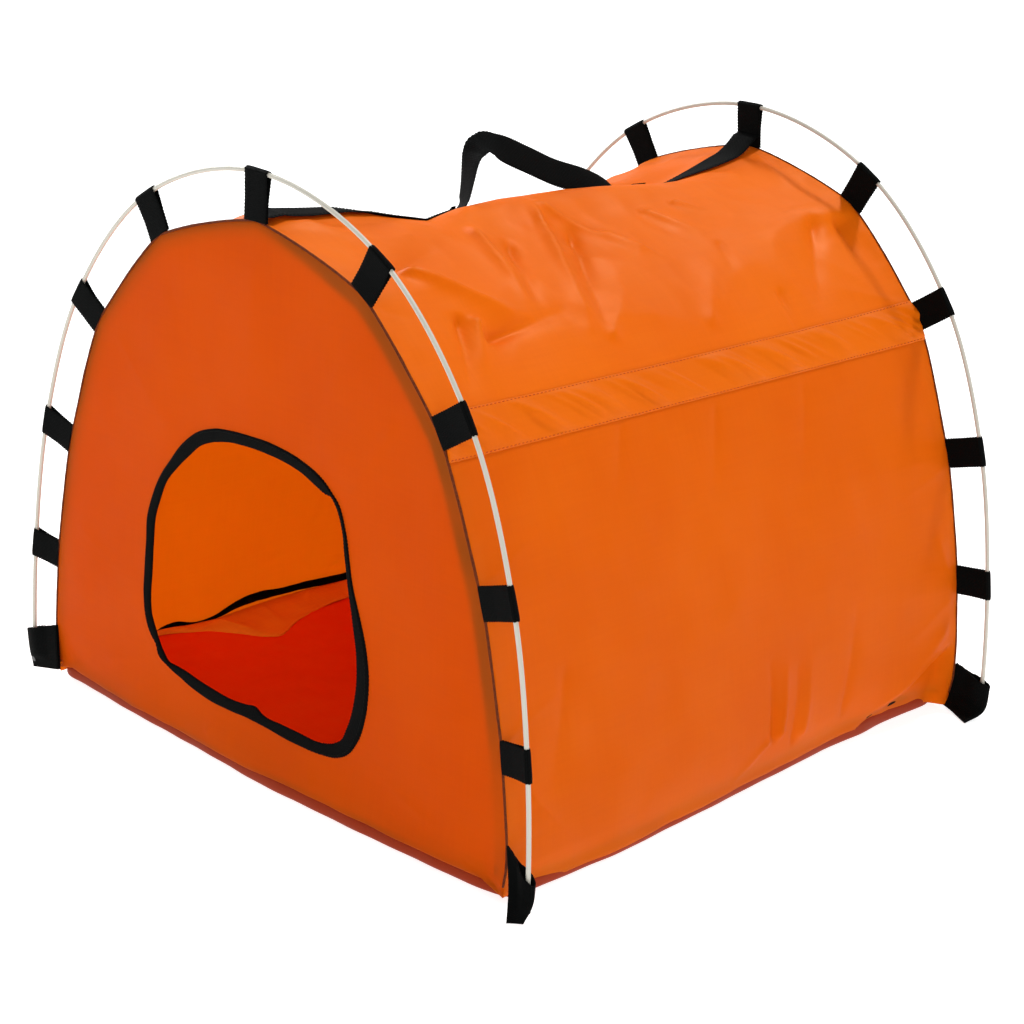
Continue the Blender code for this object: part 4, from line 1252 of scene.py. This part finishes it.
def pocket_edge(points, shares):
    """Points of a pocket's sewn or folded edge, shares from 0, the bottom, to 1, the top."""
    curve = smooth_through([(y, z, x) for x, y, z in points], per_span=30)[:, [2, 0, 1]] * MM
    spaced = even_spacing(curve, 0.3 * MM)
    return spaced[(shares * (len(spaced) - 1)).round().astype(int)]


def build_pockets(side, label):
    """Doubled webbing at a corner, folded round the hoop's foot, its lower end flat on the ground."""
    turn = np.linspace(0.0, math.pi, 13)
    layer = np.concatenate([np.linspace(0.0, 0.62, 9), 0.62 + 0.38 * np.sin(turn / 2)[1:]])
    over = np.concatenate([layer, layer[-2::-1]])
    face = np.repeat((1.0, -1.0), (len(layer), len(layer) - 1))
    pouch = np.sin(math.pi * np.clip((over - 0.45) / 0.55, 0, 1)) ** 0.7
    reach = np.sqrt(np.clip(1 - ((over - 0.72) / 0.28) ** 2, 0, 1)) * (over > 0.44)
    shares = np.linspace(0.0, 1.0, POCKET_ROWS)
    space = POUCH - FLAT_GAP + POCKET_FLARE * shares[:, None]
    gap = FLAT_GAP + space * np.maximum(pouch, reach * 0.8) * ease((shares - 0.16) / 0.20)[:, None]
    gap = gap * np.clip((1.0 - over) / 0.04, 0.12, 1.0) ** 0.5
    serration = 0.3 * MM * np.sin(2 * math.pi * over * 8) * (shares[:, None] > 0.97)
    uv = np.stack(np.broadcast_arrays((shares * 40 * MM)[:, None], over * 34 * MM * face), axis=-1)
    for hand, side_label in SIDES:
        inner, outer = (pocket_edge(edge, shares) for edge in POCKETS[f"{label}_{side_label}"])
        middle = inner[:, None] + (outer - inner)[:, None] * over[None, :, None]
        up = unit(np.gradient(middle, axis=0))
        facing = unit(np.cross(up, unit((outer - inner))[:, None] + 0 * up))
        grid = middle + facing * (gap * face[None, :])[..., None]
        grid[..., 2] = np.maximum(grid[..., 2] + serration, 0.9 * MM)
        points = np.stack([hand * grid[..., 0], side * (HOOP_Y + grid[..., 1]), grid[..., 2]], axis=-1)
        pocket = add_piece(f"{label}_{side_label}_corner", points.reshape(-1, 3),
                           grid_faces(*points.shape[:2]), WEBBING, uv.reshape(-1, 2))
        thicken(pocket, WEB_THICKNESS, 0.0)
        settle(pocket, "root", "black_webbing", f"{label}_{side_label}_pocket")


# ---------------------------------------------------------------- hoops
def build_hoop(side, label):
    """A hoop's rod along its centre line; its tips keep the CAD's shape."""
    arcs = np.linspace(-HOOP.length, HOOP.length, 420)
    points = HOOP.point(arcs)
    path = np.column_stack([points[:, 0], np.full(len(arcs), side * HOOP_Y), points[:, 1]])
    rod = tube_mesh(f"{label}_hoop_rod", path, ROD_RADIUS, FIBREGLASS, sides=18)
    settle(rod, f"{label}_hoop", "fibreglass", f"{label}_rod")
    for _, side_label in SIDES:
        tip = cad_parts[f"{label}_{side_label}_rod_tip"]
        tip.data.materials.clear()
        tip.data.materials.append(TIP_PLASTIC)


# ---------------------------------------------------------------- stage
CAMERA_PLACE = Vector((1.30856612, -1.34999699, 0.806077))
CAMERA_AXES = ((0.70762694, 0.70545899, 0.03989643), (-0.25529617, 0.202615, 0.94539464),
               (0.65885354, -0.67917212, 0.32347681))
CAMERA_LENS = 83.27
CAMERA_SENSOR = 36.0
# The lights: name, the direction that each comes from, strength, and its width in degrees.
LIGHTS = (("key", (-0.02, 0.42, 0.90), 2.2, 9.0), ("fill", (0.78, -0.56, 0.34), 0.80, 45.0),
          ("left", (-0.90, 0.10, 0.42), 2.6, 30.0))
WORLD_STRENGTH = 0.42
GROUND_SIZE = 15.0
GROUND_GREY = (0.62, 0.62, 0.62)
GROUND_GLOW = 0.80
WHITE = (1.0, 1.0, 1.0)


def build_camera():
    data = bpy.data.cameras.new("camera")
    data.lens = CAMERA_LENS
    data.sensor_width = CAMERA_SENSOR
    camera = add_object("camera", data)
    turn = Matrix(CAMERA_AXES).transposed().to_4x4()
    camera.matrix_world = Matrix.Translation(CAMERA_PLACE) @ turn
    bpy.context.scene.camera = camera


def build_ground():
    mesh = bpy.data.meshes.new("ground")
    shape = bmesh.new()
    bmesh.ops.create_grid(shape, x_segments=1, y_segments=1, size=GROUND_SIZE)
    shape.to_mesh(mesh)
    shape.free()
    ground = add_object("ground", mesh)
    material, shader = principled("pale_floor", GROUND_GREY, 0.9)
    set_inputs(shader, {"Specular IOR Level": 0.1, "Emission Color": WHITE, "Emission Strength": GROUND_GLOW})
    mesh.materials.append(material)


def build_lights():
    world = bpy.data.worlds.new("studio")
    world.use_nodes = True
    set_inputs(world.node_tree.nodes["Background"], {"Color": WHITE, "Strength": WORLD_STRENGTH})
    bpy.context.scene.world = world
    for name, direction, strength, spread in LIGHTS:
        data = bpy.data.lights.new(name, "SUN")
        data.energy = strength
        data.angle = math.radians(spread)
        light = add_object(name, data)
        light.rotation_euler = Vector(direction).to_track_quat("Z", "Y").to_euler()
    bpy.context.scene.view_settings.view_transform = "Standard"


build_camera()
build_ground()
build_lights()
build_roof()
build_sides()
build_bands()
build_end_walls()
build_seam_lips()
build_seam_bindings()
build_door_binding()
build_floor()
build_wall_slack()
build_floor_tapes()
build_ridge_strap()
build_handle()
for tent_side, tent_label in ENDS:
    build_hoop(tent_side, tent_label)
    build_loops(tent_side, tent_label)
    build_pockets(tent_side, tent_label)
